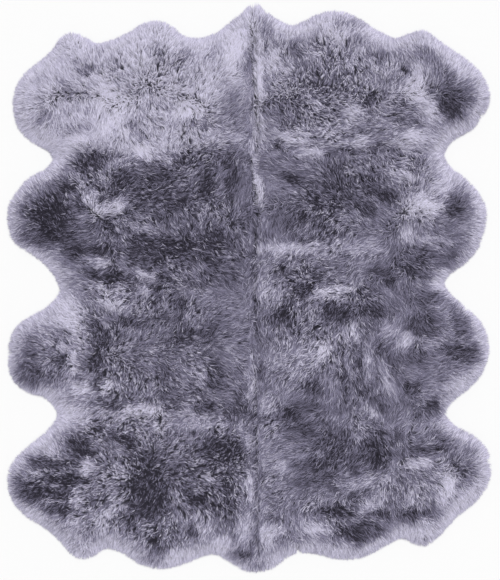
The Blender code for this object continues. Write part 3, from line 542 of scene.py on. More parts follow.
class RugWool(bpy.types.PropertyGroup):
    length: bpy.props.FloatProperty(
        name="Lock length", description="Of a lock that lies flat", default=0.042, unit="LENGTH"
    )
    width: bpy.props.FloatProperty(
        name="Lock width", description="At a lock's widest", default=0.0034, unit="LENGTH"
    )
    spacing: bpy.props.FloatProperty(
        name="Lock spacing", description="From one root to the next", default=0.0037, unit="LENGTH"
    )
    staple: bpy.props.FloatProperty(
        name="Staple",
        description="Across a staple, the group of locks whose tips draw together",
        default=0.010,
        unit="LENGTH",
    )
    tuft: bpy.props.FloatProperty(
        name="Tuft",
        description="Across a tuft of staples that lie the same way",
        default=0.034,
        unit="LENGTH",
    )


class RugColours(bpy.types.PropertyGroup):
    # Painted shade: the dark colour of the roots stands for the shade down in the wool, where little
    # light gets in.
    root: bpy.props.FloatVectorProperty(
        name="Roots",
        description="Wool down in the fleece",
        default=from_hex("#1B1922"),
        subtype="COLOR",
        size=4,
    )
    # The tips' colours, from dark to pale, carry the wool's own tone and also the painted shade of
    # open wool and the painted light of flat-combed wool.
    dark: bpy.props.FloatVectorProperty(
        name="Dark tips",
        description="Tips of the darkest wool",
        default=from_hex("#25212F"),
        subtype="COLOR",
        size=4,
    )
    middle: bpy.props.FloatVectorProperty(
        name="Middle tips",
        description="Tips of most of the wool",
        default=from_hex("#87839C"),
        subtype="COLOR",
        size=4,
    )
    pale: bpy.props.FloatVectorProperty(
        name="Pale tips",
        description="Tips of the palest wool",
        default=from_hex("#E4E0F5"),
        subtype="COLOR",
        size=4,
    )
    hide: bpy.props.FloatVectorProperty(
        name="Hide",
        description="Suede underside of the pelts",
        default=from_hex("#C2BEC2"),
        subtype="COLOR",
        size=4,
    )
    thread: bpy.props.FloatVectorProperty(
        name="Thread",
        description="Seam thread",
        default=from_hex("#95929E"),
        subtype="COLOR",
        size=4,
    )


class RugStage(bpy.types.PropertyGroup):
    height: bpy.props.FloatProperty(
        name="Camera height", description="Above the floor", default=5.087, unit="LENGTH"
    )
    lens: bpy.props.FloatProperty(
        name="Lens", description="Focal length in millimetres", default=85.0
    )


def add_node(tree, kind, options=None, inputs=None):
    """Adds a node to a material's tree. options are the node's own settings, and inputs its
    sockets by name or number: each holds a number or colour, or the output that it's linked to."""
    node = tree.nodes.new(kind)
    for name, value in (options or {}).items():
        setattr(node, name, value)
    for name, value in (inputs or {}).items():
        if isinstance(value, bpy.types.NodeSocket):
            tree.links.new(value, node.inputs[name])
        else:
            node.inputs[name].default_value = value
    return node


def new_material(name):
    """A material with nothing but its output, and its tree."""
    material = bpy.data.materials.new(name)
    material.use_nodes = True
    material.node_tree.nodes.clear()
    return material, material.node_tree


def is_inside(points, outline):
    """Whether each point lies within a closed outline."""
    x, y = points[:, 0], points[:, 1]
    inside = np.zeros(len(points), bool)
    for (x_a, y_a), (x_b, y_b) in zip(outline, np.roll(outline, -1, axis=0)):
        if y_a != y_b:
            crossing = x_a + (y - y_a) / (y_b - y_a) * (x_b - x_a)
            inside ^= ((y_a > y) != (y_b > y)) & (x < crossing)
    return inside


def distance_to(points, edges):
    """From each point to the nearest of these straight edges."""
    nearest = np.full(len(points), np.inf)
    for start, end in edges:
        step = end - start
        share = np.clip((points - start) @ step / (step @ step), 0, 1)
        away = points - start - share[:, None] * step
        nearest = np.minimum(nearest, (away**2).sum(1))
    return np.sqrt(nearest)


def swells(points, span, seed):
    """Smooth random values from -1 to 1 at points in plan, that rise and sink over this span."""
    lattice = np.random.default_rng(seed).uniform(-1, 1, (LATTICE, LATTICE))
    place = points / span
    low = np.floor(place).astype(int)
    u, v = (place - low).T
    u, v = u * u * (3 - 2 * u), v * v * (3 - 2 * v)
    (x, y), (x_next, y_next) = (low % LATTICE).T, ((low + 1) % LATTICE).T
    below = lattice[x, y] * (1 - u) + lattice[x_next, y] * u
    above = lattice[x, y_next] * (1 - u) + lattice[x_next, y_next] * u
    return below * (1 - v) + above * v


def smoothed(grid, passes):
    """A square grid with each value drawn towards its neighbours'."""
    for _ in range(passes):
        for axis in (0, 1):
            grid = (np.roll(grid, 1, axis) + 2 * grid + np.roll(grid, -1, axis)) / 4
    return grid


def nearest_seed(points, span, seed):
    """The nearest of a shaken net of seeds: its place in plan, its number, and how far off it
    is as a share of the span."""
    shaken = np.random.default_rng(seed).uniform(*SEED_PLACE, (LATTICE, LATTICE, 2))
    cell = np.floor(points / span).astype(int)
    place, number = np.zeros_like(points), np.zeros(len(points), int)
    off = np.full(len(points), np.inf)
    for step in ((i, j) for i in (-1, 0, 1) for j in (-1, 0, 1)):
        near = cell + step
        x, y = (near % LATTICE).T
        candidate = (near + shaken[x, y]) * span
        away = np.linalg.norm(points - candidate, axis=1)
        closer = away < off
        off[closer], place[closer] = away[closer], candidate[closer]
        number[closer] = (x * LATTICE + y)[closer]
    return place, number, off / span


def luck_of(numbers, seed):
    """What chance decides for groups of locks, the same for the same number."""
    size = (len(GroupLuck._fields), LATTICE**2)
    return GroupLuck(*np.random.default_rng(seed).uniform(-1, 1, size)[:, numbers])


def bell(distance, width):
    """1 at no distance, and down to 0 past the width on either side."""
    return np.exp(-((distance / width) ** 2))


def by_opening(values, opened):
    """A value for wool that is more or less open, from its value where the wool lies closed and
    what is added where it is open."""
    closed, added = values
    return closed + added * opened


def wandered(points, warp, span, seed):
    """Points in plan, each moved by up to the warp, the same way as those around it."""
    return points + np.stack([warp * swells(points, span, seed + k) for k in (0, 1)], axis=1)


def combed_to(turn):
    """A step in plan, this many degrees from +X."""
    angle = math.radians(turn)
    return math.cos(angle), math.sin(angle)


def unit(vectors):
    """Vectors of length 1 with the same directions."""
    return vectors / np.maximum(np.linalg.norm(vectors, axis=-1, keepdims=True), 1e-9)


def turned(vectors, angles):
    """Vectors in plan, turned anticlockwise."""
    x, y = vectors.T
    c, s = np.cos(angles), np.sin(angles)
    return np.stack([x * c - y * s, x * s + y * c], axis=1)


def beside_parting(points):
    """How far to the right of the parting."""
    waver = PARTING_WAVER * swells(points * (0, 1), PARTING_WAVER_SPAN, 61)
    return points[:, 0] - PARTING_X - PARTING_SLANT * points[:, 1] - waver


def parting_shows(points):
    """How plainly the parting shows at these points."""
    places, shares = np.array(PARTING_SHOWS[::-1]).T
    return np.interp(100 * points[:, 1], places, shares)


def at_peak(points):
    """How far points share in the peak of fringe."""
    share = np.clip(1 - np.abs(points[:, 0] - PEAK_TIP[0]) / PEAK_WIDTH, 0, 1)
    return share * np.clip((points[:, 1] - PEAK_START) / PEAK_WIDTH, 0, 1)


def hide_outline(node):
    """The edge of a pelt's hide in plan, anticlockwise, read from the solid's underside."""
    bm = bmesh.new()
    bm.from_mesh(node.data)
    bmesh.ops.remove_doubles(bm, verts=bm.verts, dist=SAME_POINT)
    bm.normal_update()
    corners = set()  # underside points with a wall above them, so not the tips of locks
    for edge in bm.edges:
        low, high = sorted(edge.verts, key=lambda vert: vert.co.z)
        if (high.co - low.co).xy.length < SAME_POINT and low.co.z < SAME_POINT:
            corners.add(low)
    hide = {f for f in bm.faces if f.normal.z < FACES_DOWN and corners.issuperset(f.verts)}
    before = {}
    for face in hide:
        for loop in face.loops:
            if not hide.issuperset(loop.edge.link_faces):
                before[loop.link_loop_next.vert] = loop.vert
    vert = min(before, key=lambda corner: tuple(corner.co.xy))  # the same one in every run
    outline = []
    while len(outline) < len(before):
        outline.append(tuple(vert.co.xy))
        vert = before[vert]
    bm.free()
    return np.array(outline)


def edges_of(outline):
    """The straight edges of a closed outline, each as its two ends."""
    return np.stack([outline, np.roll(outline, -1, axis=0)], axis=1)


class RugMap:
    """What the wool has to know, on a square grid in plan: the height of its top, how far the
    rim and the seams are, which way it lies, and how light and how open it is."""

    def __init__(self, nodes):
        self.outlines = {name: hide_outline(nodes[name]) for name in PELTS}
        self.sort_edges()
        every = np.concatenate(list(self.outlines.values()))
        self.low = every.min(0) - MAP_MARGIN
        self.shape = tuple(np.ceil((every.max(0) + MAP_MARGIN - self.low) / CELL).astype(int) + 1)
        x, y = np.meshgrid(*(np.arange(n) for n in self.shape), indexing="ij")
        self.cells = self.low + CELL * np.stack([x.ravel(), y.ravel()], axis=1)

        self.grids = {}
        self.measure_distances()
        self.measure_top(nodes)
        self.blend_shades()
        self.paint_patches()
        self.spread_stands()
        self.spread_marks()
        self.find_partings()

    def sort_edges(self):
        """Parts the hides' edges into the rim, the centre seam and the seams across."""
        self.rim, self.centre, self.across = [], [], []
        for name, outline in self.outlines.items():
            edges = edges_of(outline)
            others = [edges_of(o) for other, o in self.outlines.items() if other != name]
            to_others = distance_to(edges.mean(1), np.concatenate(others))
            for edge, distance in zip(edges, to_others):
                if distance > SEAM_REACH:
                    self.rim.append(edge)
                elif abs(edge[1, 1] - edge[0, 1]) > abs(edge[1, 0] - edge[0, 0]):
                    self.centre.append(edge)
                else:
                    self.across.append(edge)

    def keep(self, name, values):
        """Keeps one value for each cell."""
        self.grids[name] = values.reshape(self.shape)

    def at(self, name, points):
        """A grid's value at points in plan, drawn evenly between its cells."""
        grid = self.grids[name]
        place = np.clip((points - self.low) / CELL, 0, np.array(self.shape) - 1.001)
        low = place.astype(int)
        u, v = (place - low).T
        x, y = low.T
        below = grid[x, y] * (1 - u) + grid[x + 1, y] * u
        above = grid[x, y + 1] * (1 - u) + grid[x + 1, y + 1] * u
        return below * (1 - v) + above * v

    def slope(self, name, points):
        """Which way a grid rises, and how fast."""
        return np.stack([self.at(name + "_x", points), self.at(name + "_y", points)], axis=1)

    def keep_slope(self, name):
        """Keeps how fast a grid rises along X and along Y."""
        for axis, end in enumerate(("_x", "_y")):
            self.grids[name + end] = np.gradient(self.grids[name], CELL, axis=axis)

    def measure_distances(self):
        """rim is positive inside the rug. The seams have no sides."""
        self.pelt = np.full(len(self.cells), -1)
        for number, outline in enumerate(self.outlines.values()):
            self.pelt[is_inside(self.cells, outline)] = number
        to_seam = np.minimum(
            distance_to(self.cells, self.centre), distance_to(self.cells, self.across)
        )
        to_rim = distance_to(self.cells, self.rim)
        inside = (self.pelt >= 0) | (to_seam < CELL)
        self.keep("rim", np.where(inside, to_rim, -to_rim))
        self.keep("across", distance_to(self.cells, self.across))
        for name in ("rim", "across"):
            self.keep_slope(name)
        for end in ("_x", "_y"):
            self.keep("fall" + end, smoothed(self.grids["rim" + end], BLEND_PASSES))

    def blend_shades(self):
        """How light the pelts are. The wool of each lies over its seams, so the change from one
        to the next is gradual."""
        inside = (self.pelt >= 0).reshape(self.shape).astype(float)
        shade = inside * np.array([SHADES[name] for name in PELTS])[self.pelt].reshape(self.shape)
        inside, shade = smoothed(inside, BLEND_PASSES), smoothed(shade, BLEND_PASSES)
        self.keep("shade", shade / np.maximum(inside, 1e-3))

    def measure_top(self, nodes):
        """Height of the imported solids, and outside them of the wool that rounds off the rim."""
        out = np.clip(-self.grids["rim"].ravel() / (RIM_REACH * RIM_SPARE), 0, 1)
        top = RIM_ROUND * np.sqrt(1 - out**2)
        for number, name in enumerate(PELTS):
            tree = BVHTree.FromObject(nodes[name], bpy.context.evaluated_depsgraph_get())
            for cell in np.flatnonzero(self.pelt == number):
                x, y = self.cells[cell]
                hit = tree.ray_cast(Vector((x, y, 1.0)), Vector((0, 0, -1)))[0]
                if hit:
                    top[cell] = hit.z
        top = top.reshape(self.shape)
        at_rim = bell(self.grids["rim"], RIM_FALL)
        self.keep("top", top + at_rim * (smoothed(top, RIM_PASSES) - top))

    def paint_patches(self):
        """The lighter and darker tufts, partly the wool's own tone and partly painted light and
        shade, which also stand a little higher or lower and turn the wool along their long side."""
        warp = PATCH_WARP * (1 - bell(beside_parting(self.cells), PARTING_COMB))
        place = 100 * wandered(self.cells, warp, PATCH_WARP_SPAN, 5)
        tone = np.zeros(len(place))
        comb = np.zeros((len(place), 2))
        for patch in PATCHES:
            along, beside = turned(place - (patch.x, patch.y), -math.radians(patch.turn)).T
            spread = (2 * along / patch.long) ** 2 + (2 * beside / patch.wide) ** 2
            weight = np.exp(-PATCH_EDGE * spread**2)
            tone += patch.tone / TONES * weight
            if patch.long >= 2 * patch.wide:
                comb += weight[:, None] * combed_to(patch.turn)
        tone = np.clip(tone, -PATCH_MOST, PATCH_MOST)
        self.keep("tone", tone)
        self.keep("comb_x", comb[:, 0])
        self.keep("comb_y", comb[:, 1])
        inland = np.clip(self.grids["rim"].ravel() / RIM_FALL, 0, 1)
        relief = RELIEF * swells(self.cells, RELIEF_SPAN, 7) + PATCH_RELIEF * tone
        self.keep("top", self.grids["top"].ravel() + inland * relief)
        self.keep_slope("top")

    def spread_stands(self):
        """How open the wool is, beside what is usual."""
        open_here, known = np.zeros(len(self.cells)), np.full(len(self.cells), STANDS_USUAL)
        for x, y, stands in STANDS:
            away = np.linalg.norm(self.cells - (x / 100, y / 100), axis=1)
            weight = bell(away, STANDS_REACH)
            open_here += stands * weight
            known += weight
        self.keep("stands", open_here / known)

    def spread_marks(self):
        """Which way the marks comb the wool."""
        combed, known = np.zeros((len(self.cells), 2)), np.zeros(len(self.cells))
        place = wandered(self.cells, LAY_WARP, WARP_SPAN, 15)
        for x, y, turn in LAY_MARKS:
            weight = bell(np.linalg.norm(place - (x / 100, y / 100), axis=1), LAY_REACH)
            combed += weight[:, None] * combed_to(turn)
            known += weight
        combed *= LAY_SHARE / (known + LAY_UNSURE)[:, None]
        self.keep("marked_x", combed[:, 0])
        self.keep("marked_y", combed[:, 1])

    def lay(self, points):
        """Which way the wool lies, in plan: outwards at the rim, down along the parting, and as
        the marks and slow whorls have it elsewhere."""
        rim, across = (self.at(name, points)[:, None] for name in ("rim", "across"))
        flow = np.zeros_like(points)
        for span, share, seed in FLOWS:
            for axis in (0, 1):
                flow[:, axis] += share * swells(points, span, seed + axis)
        flow += self.slope("marked", points)
        comb = self.slope("comb", points)
        flow += PATCH_SHARE * comb * np.sign((comb * flow).sum(1, keepdims=True))
        beside = beside_parting(points)
        down = np.stack([PARTING_SPREAD * np.sign(beside), -np.ones(len(points))], axis=1)
        flow += PARTING_SHARE * bell(beside, PARTING_COMB)[:, None] * down
        flow += SEAM_SHARE * bell(across, SEAM_COMB) * self.slope("across", points)
        flow -= RIM_SHARE * bell(np.maximum(rim, 0), RIM_FALL) * self.slope("fall", points)
        return unit(flow)

    def find_partings(self):
        """Where the wool parts, from 0 to 1."""
        lay = self.lay(self.cells).reshape(*self.shape, 2)
        spread = np.gradient(lay[:, :, 0], CELL, axis=0) + np.gradient(lay[:, :, 1], CELL, axis=1)
        self.keep("parted", np.clip(spread / PARTED, 0, 1))

    def surface_normals(self, points):
        """The way that the wool's top faces."""
        slope = self.slope("top", points)
        return unit(np.concatenate([-slope, np.ones((len(points), 1))], axis=1))


def fleece_height(rug, points):
    """Height of the closed fleece that the locks grow out of."""
    top = rug.at("top", points)
    return np.maximum(top - FLEECE_DEPTH, HIDE + FLEECE_LEAST * np.clip(top / RIM_ROUND, 0, 1))


def shaken_net(outline, spacing, chance):
    """Places inside an outline: a triangular net, shaken so that no rows show."""
    low, high = outline.min(0), outline.max(0)
    columns = np.arange(low[0], high[0], spacing)
    rows = np.arange(low[1], high[1], spacing * math.sqrt(3) / 2)
    x, y = np.meshgrid(columns, rows)
    x[1::2] += spacing / 2
    net = np.stack([x.ravel(), y.ravel()], axis=1)
    net += chance.uniform(-SHAKE * spacing, SHAKE * spacing, net.shape)
    return net[is_inside(net, outline)]


def triangulated(outline, inner=()):
    """Triangles that fill an outline and use all the points inside it. The outline's points
    come first."""
    places = [Vector(place) for place in (*outline, *inner)]
    ring = [(k, (k + 1) % len(outline)) for k in range(len(outline))]
    within_outline = 1
    return delaunay_2d_cdt(places, ring, [], within_outline, SAME_POINT / 100)[2]


def closed_fleece(rug, name, chance):
    """The fleece of one pelt, closed and painted dark as shade down in the wool: its points,
    triangles, tones and normals.
    """
    outline = rug.outlines[name]
    net = shaken_net(outline, FLEECE_NET, chance)
    net = net[distance_to(net, edges_of(outline)) > FLEECE_NET / 2]
    plan = np.concatenate([outline, net])
    top, under = triangulated(outline, net), triangulated(outline)
    count, first = len(outline), len(plan)
    ring = [(k, (k + 1) % count) for k in range(count)]
    walls = [(b, a, first + a) for a, b in ring] + [(b, first + a, first + b) for a, b in ring]
    flipped = [tuple(first + k for k in reversed(triangle)) for triangle in under]
    heights = np.concatenate([fleece_height(rug, plan), np.full(count, HIDE)])
    points = np.column_stack([np.concatenate([plan, outline]), heights])
    uv = np.tile(FLEECE_SHADE_UV, (len(points), 1))
    return points, np.array([*top, *walls, *flipped]), uv, np.zeros_like(points)


def rim_roots(rug, name, chance):
    """Places for the extra locks along the hide's edge, which make the fringe full."""
    outline = rug.outlines[name]
    found = []
    for start, end in edges_of(outline):
        middle = ((start + end) / 2)[None]
        if distance_to(middle, rug.rim)[0] < SAME_POINT:
            count = round(FRINGE_DENSITY * np.linalg.norm(end - start))
            share = chance.uniform(0, 1, (count, 1))
            found.append(start + share * (end - start))
    if not found:
        return np.empty((0, 2))
    found = np.concatenate(found)
    inward = unit(rug.slope("rim", found))
    return found + inward * chance.uniform(*FRINGE_BAND, (len(found), 1))


class Locks:
    """All the locks of one pelt. Each is a ribbon that grows from its root, bends over and lies
    on the wool below it. Locks draw together into staples, and staples lie together in tufts."""

    def __init__(self, rug, name, wool, chance):
        self.rug, self.wool = rug, wool
        inner = shaken_net(rug.outlines[name], wool.spacing, chance)
        self.roots = np.concatenate([inner, rim_roots(rug, name, chance)])
        self.is_fringe = np.arange(len(self.roots)) >= len(inner)

        middle, staple_number, self.off = nearest_seed(self.roots, wool.staple, 11)
        tuft_number = nearest_seed(middle, wool.tuft, 12)[1]
        self.by_staple, self.by_tuft = luck_of(staple_number, 21), luck_of(tuft_number, 22)
        size = (len(LockLuck._fields), len(self.roots))
        self.luck = LockLuck(*chance.uniform(-1, 1, size))

        rim = np.maximum(rug.at("rim", self.roots), 0)
        self.at_rim, self.at_edge = bell(rim, RIM_FALL), bell(rim, RIM_EDGE)
        self.beside, self.shows = beside_parting(self.roots), parting_shows(self.roots)
        self.at_parting = self.shows * bell(self.beside, PARTING_COMB)
        self.staple = middle + self.at_parting[:, None] * (self.roots - middle)
        self.lay = rug.lay(self.staple)
        self.choose_tones(name)
        self.lay_down()
        self.find_heights()

    def choose_tones(self, name):
        """How light each lock is, painted light and shade included, how far its staple stands open,
        and which locks are wisps, pale ones that lie over the open wool."""
        rug, luck, by_staple, by_tuft = self.rug, self.luck, self.by_staple, self.by_tuft
        staple, at_rim, at_edge = self.staple, self.at_rim, self.at_edge
        tone = rug.at("shade", wandered(staple, SEAM_WARP, WARP_SPAN, 8))
        tone = tone + PATCH_TONE * rug.at("tone", staple + SHOWN * self.lay)
        tone += TUFT_TONE * by_tuft.tone
        tone += sum(share * swells(staple, span, seed) for share, span, seed in DRIFTS)
        # Painted highlight: a pale strip beside the parting.
        if name in SEAM_GLEAMS:
            tone += SEAM_GLEAMS[name] * bell(self.beside - SEAM_GLEAM, SEAM_GLEAM_WIDTH)
        # Painted light: the rim and its edge are painted paler, for the light through their thin
        # wool.
        tone = tone * (1 - RIM_EVENS * at_rim - RIM_EVENS * at_edge)
        tone = tone + RIM_PAINTED_LIGHT * at_rim + EDGE_PAINTED_LIGHT * at_edge
        tone -= RIM_DRAWN_BACK * at_rim * np.maximum(tone - RIM_PALEST, 0)

        stirred = OPEN_SWELL * swells(staple, OPEN_SWELL_SPAN, 52)
        stirred = stirred + OPEN_TUFT * by_tuft.opening + OPEN_STAPLE * by_staple.opening
        opened = OPEN_USUAL - OPEN_DARK * tone + stirred + OPEN_STANDS * rug.at("stands", staple)
        opened = np.clip(opened, 0, 1)
        opened *= (1 - at_rim) * (1 - PARTING_CLOSES * self.at_parting)
        by_lock, by_group, least = WISPS
        wisp = opened * np.clip(by_lock * luck.wisp + by_group * by_staple.length + least, 0, 1)

        # A wisp is painted paler, as painted light on the locks that lie on top.
        tone += WISP_PAINTED_LIGHT * wisp + by_opening(STAPLE_TONE, opened) * by_staple.tone
        # Painted shade: the edges of each staple are painted darker and the middles paler, as the
        # gaps between staples lie in shade.
        from_middle = 2 * self.off**2 - STAPLE_MIDDLE
        tone -= by_opening(STAPLE_EDGE_SHADE, opened) * from_middle * (1 - at_rim)
        self.tone, self.opened, self.wisp = tone, opened, wisp

    def lay_down(self):
        """Where the tips come to lie, in plan."""
        rug, luck, by_staple, by_tuft = self.rug, self.luck, self.by_staple, self.by_tuft
        roots, staple, opened, at_rim = self.roots, self.staple, self.opened, self.at_rim
        parted = rug.at("parted", staple)
        loose = (1 - RIM_CALM * at_rim) * (1 - PARTING_CALM * self.at_parting)
        loose *= by_opening(LOOSE, opened)
        turn = loose * (STAPLE_TURN * by_staple.turn + TUFT_TURN * by_tuft.turn)
        lay = turned(self.lay, turn + LOCK_TURN * luck.turn)
        lay = turned(lay, PARTED_TURN * parted * luck.twist)
        reach = self.wool.length * (1 - OPEN_SHORTER * opened)
        reach = reach * (1 + STAPLE_LENGTH * by_staple.length)
        reach *= 1 - PARTED_SHORTER * parted
        peak = at_peak(roots)
        reach += PEAK_REACH * peak
        lay = unit(lay + PEAK_PULL * peak[:, None] * (np.array(PEAK_TIP) - roots) / PEAK_WIDTH)

        own_tip = roots + (reach * (1 + LOCK_LENGTH * luck.length))[:, None] * lay
        shared_tip = staple + reach[:, None] * lay
        drawn = by_opening(DRAWN, opened) * (1 - RIM_CALM * at_rim)
        drawn = drawn * (1 - DRAWN_UNEVEN * np.abs(luck.draw))
        drawn = (drawn * (1 - parted))[:, None]
        tips = own_tip + drawn * (shared_tip - own_tip)
        crossed = np.minimum(np.sign(self.beside) * beside_parting(tips), 0)
        tips[:, 0] -= self.shows * crossed * np.sign(self.beside)
        by_lock, by_group = RAGGED_SHARES
        limit = RIM_REACH + RIM_RAGGED * (by_lock * luck.edge + by_group * by_staple.tone)
        limit += PEAK_REACH * at_peak(tips)
        beyond = np.maximum(-rug.at("rim", tips) - limit, 0)[:, None]
        tips += beyond * unit(rug.slope("rim", tips))
        self.reach, self.tips = reach, tips

    def find_heights(self):
        """The three points in space that bend each lock: its root, its bend and its tip."""
        rug, luck, opened, at_rim = self.rug, self.luck, self.opened, self.at_rim
        roots, tips, is_fringe = self.roots, self.tips, self.is_fringe
        dip = PARTING_DIP * self.shows * bell(self.beside, PARTING_LINE)
        sunk = LEAST_SUNK + by_opening(EDGE_SUNK, opened) * self.off**2
        sunk = sunk + LOCK_SUNK * (1 + luck.depth)
        sunk += OPEN_SUNK * opened * (1 + luck.mix)
        sunk *= 1 - WISP_RISES * self.wisp

        tip_height = rug.at("top", tips) - sunk * (1 - RIM_RISES * at_rim)
        tip_height = np.maximum(tip_height, LEAST_TIP)
        least, more = FRINGE_TIP
        tip_height = np.where(is_fringe, least + more * (1 + luck.width) / 2, tip_height)
        root_height = fleece_height(rug, roots) - ROOT_DEPTH
        least, more = FRINGE_ROOT
        root_height = np.where(is_fringe, least + more * (1 + luck.root) / 2, root_height)
        usual, more = BEND
        bend_place = roots + (usual + more * luck.bend)[:, None] * (tips - roots)
        bend_height = rug.at("top", bend_place) - dip - BEND_SUNK * sunk
        bend_height = np.maximum(bend_height, root_height)
        bend_height = np.where(is_fringe, root_height + FRINGE_BEND, bend_height)
        curl = self.by_staple.opening * by_opening(CURL, opened) * (1 - RIM_STRAIGHT * at_rim)
        bend_place += curl[:, None] * turned(tips - roots, math.pi / 2)
        self.start = np.column_stack([roots, root_height])
        self.bend = np.column_stack([bend_place, bend_height])
        self.end = np.column_stack([tips, tip_height])

    def ribbons(self):
        """Each lock's five points, two at the root, two half way and one at the tip, and their
        normals, which round the ribbon off like a strand."""
        luck, count = self.luck, len(self.roots)
        start, bend, end = self.start, self.bend, self.end
        t = np.array(STATIONS)[None, :, None]
        middle = (1 - t) ** 2 * start[:, None] + 2 * t * (1 - t) * bend[:, None] + t**2 * end[:, None]
        tangent = unit(2 * (1 - t) * (bend - start)[:, None] + 2 * t * (end - bend)[:, None])

        ahead = self.tips - self.roots
        side = unit(np.column_stack([ahead[:, 1], -ahead[:, 0], TWIST * luck.twist * self.reach]))
        crimp = CRIMP * np.array(CRIMPS)[None, :, None] * luck.draw[:, None, None]
        middle += crimp * side[:, None]
        half = self.wool.width / 2 * (1 + LOCK_WIDTH * luck.width)[:, None, None]
        half = half * np.array(WIDTHS)[None, :, None]
        left, right = middle - half * side[:, None], middle + half * side[:, None]
        points = np.stack([left[:, :2], right[:, :2]], axis=2).reshape(count, 4, 3)
        points = np.concatenate([points, middle[:, 2:]], axis=1)
        points[:, :, 2] = np.maximum(points[:, :, 2], FLOOR_GAP)

        facing = unit(np.cross(np.broadcast_to(side[:, None], tangent.shape), tangent))
        facing *= np.where(facing[:, :, 2:] < 0, -1, 1)
        level = self.rug.surface_normals(self.roots)[:, None]
        base = FACING * facing + LEVEL * level
        splayed = SPLAY * side[:, None]
        normals = np.stack([base[:, :2] - splayed, base[:, :2] + splayed], axis=2)
        normals = unit(np.concatenate([normals.reshape(count, 4, 3), base[:, 2:]], axis=1))
        return points.reshape(-1, 3), normals.reshape(-1, 3)

    def map_places(self):
        """Places on the map: a lock's tone across it, and from root to tip along it."""
        mixed = by_opening(MIXED_TONE, self.opened) * self.luck.mix
        u = np.clip(UV_MIDDLE + UV_TONE * self.tone + mixed, *UV_ENDS)
        across = UV_STRIP * np.array([-1, 1, -1, 1, 0])
        along = np.array(STATIONS)[[0, 0, 1, 1, 2]]
        along = np.broadcast_to(along, (len(self.roots), 5))
        return np.stack([u[:, None] + across, along], axis=2).reshape(-1, 2)


def grown_locks(rug, name, wool, chance):
    """All the locks of one pelt: their points, triangles, places on the map and normals."""
    locks = Locks(rug, name, wool, chance)
    points, normals = locks.ribbons()
    faces = np.array([(0, 1, 3), (0, 3, 2), (2, 3, 4)])
    triangles = (5 * np.arange(len(locks.roots))[:, None, None] + faces).reshape(-1, 3)
    return points, triangles, locks.map_places(), normals


def mesh_of(name, parts):
    """One object of joined parts, each its points, triangles, UVs and normals. A normal of no
    length is left to Blender."""
    first = np.cumsum([0] + [len(part[0]) for part in parts])
    points, _, uvs, normals = (np.concatenate([part[k] for part in parts]) for k in range(4))
    triangles = np.concatenate([part[1] + start for part, start in zip(parts, first)])
    mesh = bpy.data.meshes.new(name)
    mesh.vertices.add(len(points))
    mesh.vertices.foreach_set("co", points.astype(np.float32).ravel())
    mesh.loops.add(triangles.size)
    mesh.loops.foreach_set("vertex_index", triangles.astype(np.int32).ravel())
    mesh.polygons.add(len(triangles))
    mesh.polygons.foreach_set("loop_start", np.arange(0, triangles.size, 3, dtype=np.int32))
    mesh.update(calc_edges=True)
    mesh.shade_smooth()
    layer = mesh.uv_layers.new(name=UV_NAME)
    layer.data.foreach_set("uv", uvs[triangles.ravel()].astype(np.float32).ravel())
    mesh.normals_split_custom_set_from_vertices(normals.tolist())
    item = bpy.data.objects.new(name, mesh)
    bpy.context.scene.collection.objects.link(item)
    return item


def long_wool(colours):
    """Sheep's wool on the skin, dyed, washed and combed out. Every fibre is matt and the lock
    as a whole has a faint silky edge. Its colour is painted dark at the root, as painted shade where
    little light gets in, and goes paler towards the tip."""
    material, tree = new_material("long_wool")
    place = add_node(tree, "ShaderNodeUVMap", {"uv_map": UV_NAME})
    parts = add_node(tree, "ShaderNodeSeparateXYZ", inputs={0: place.outputs["UV"]})
    tone, along = parts.outputs["X"], parts.outputs["Y"]
    tips = add_node(tree, "ShaderNodeValToRGB", inputs={"Fac": tone})
    tips.color_ramp.elements.new(0.5)
    for stop, colour in zip(tips.color_ramp.elements, (colours.dark, colours.middle, colours.pale)):
        stop.color = colour
    # Painted shade: the colour goes from the dark root colour to the tip's, as the shade down in the
    # wool gives way to light.
    root_shade_fade = add_node(
        tree,
        "ShaderNodeMapRange",
        {"interpolation_type": "SMOOTHSTEP"},
        {"Value": along, "From Min": -0.1, "From Max": 0.85, "To Min": 0.0, "To Max": 1.0},
    )
    lock = add_node(
        tree,
        "ShaderNodeMix",
        {"data_type": "RGBA"},
        {"Factor": root_shade_fade.outputs["Result"], 6: tuple(colours.root), 7: tips.outputs["Color"]},
    )
    # Single fibres are too fine to show, so a few streaks along each lock stand for them
    fibres = add_node(
        tree,
        "ShaderNodeTexNoise",
        {"noise_dimensions": "1D"},
        {"W": tone, "Scale": STREAKS / (2 * UV_STRIP), "Detail": 1.0},
    )
    streaks = add_node(
        tree,
        "ShaderNodeMapRange",
        inputs={"Value": fibres.outputs[0], **NOISE_RANGE, "To Min": 0.86, "To Max": 1.1},
    )
    colour = add_node(
        tree,
        "ShaderNodeMix",
        {"data_type": "RGBA", "blend_type": "MULTIPLY"},
        {"Factor": 1.0, 6: lock.outputs[2], 7: streaks.outputs["Result"]},
    )
    dull = add_node(
        tree,
        "ShaderNodeMapRange",
        inputs={"Value": fibres.outputs[0], **NOISE_RANGE, "To Min": 0.95, "To Max": 0.7},
    )
    bump = add_node(
        tree,
        "ShaderNodeBump",
        inputs={"Height": fibres.outputs[0], "Strength": 0.3, "Distance": 0.0003},
    )
    shader = add_node(
        tree,
        "ShaderNodeBsdfPrincipled",
        inputs={
            "Base Color": colour.outputs[2],
            "Roughness": dull.outputs["Result"],
            "Normal": bump.outputs[0],
            "IOR": 1.55,
            "Specular IOR Level": 0.25,
            "Sheen Weight": 0.12,
            "Sheen Roughness": 0.45,
        },
    )
    add_node(tree, "ShaderNodeOutputMaterial", inputs={"Surface": shader.outputs[0]})
    return material


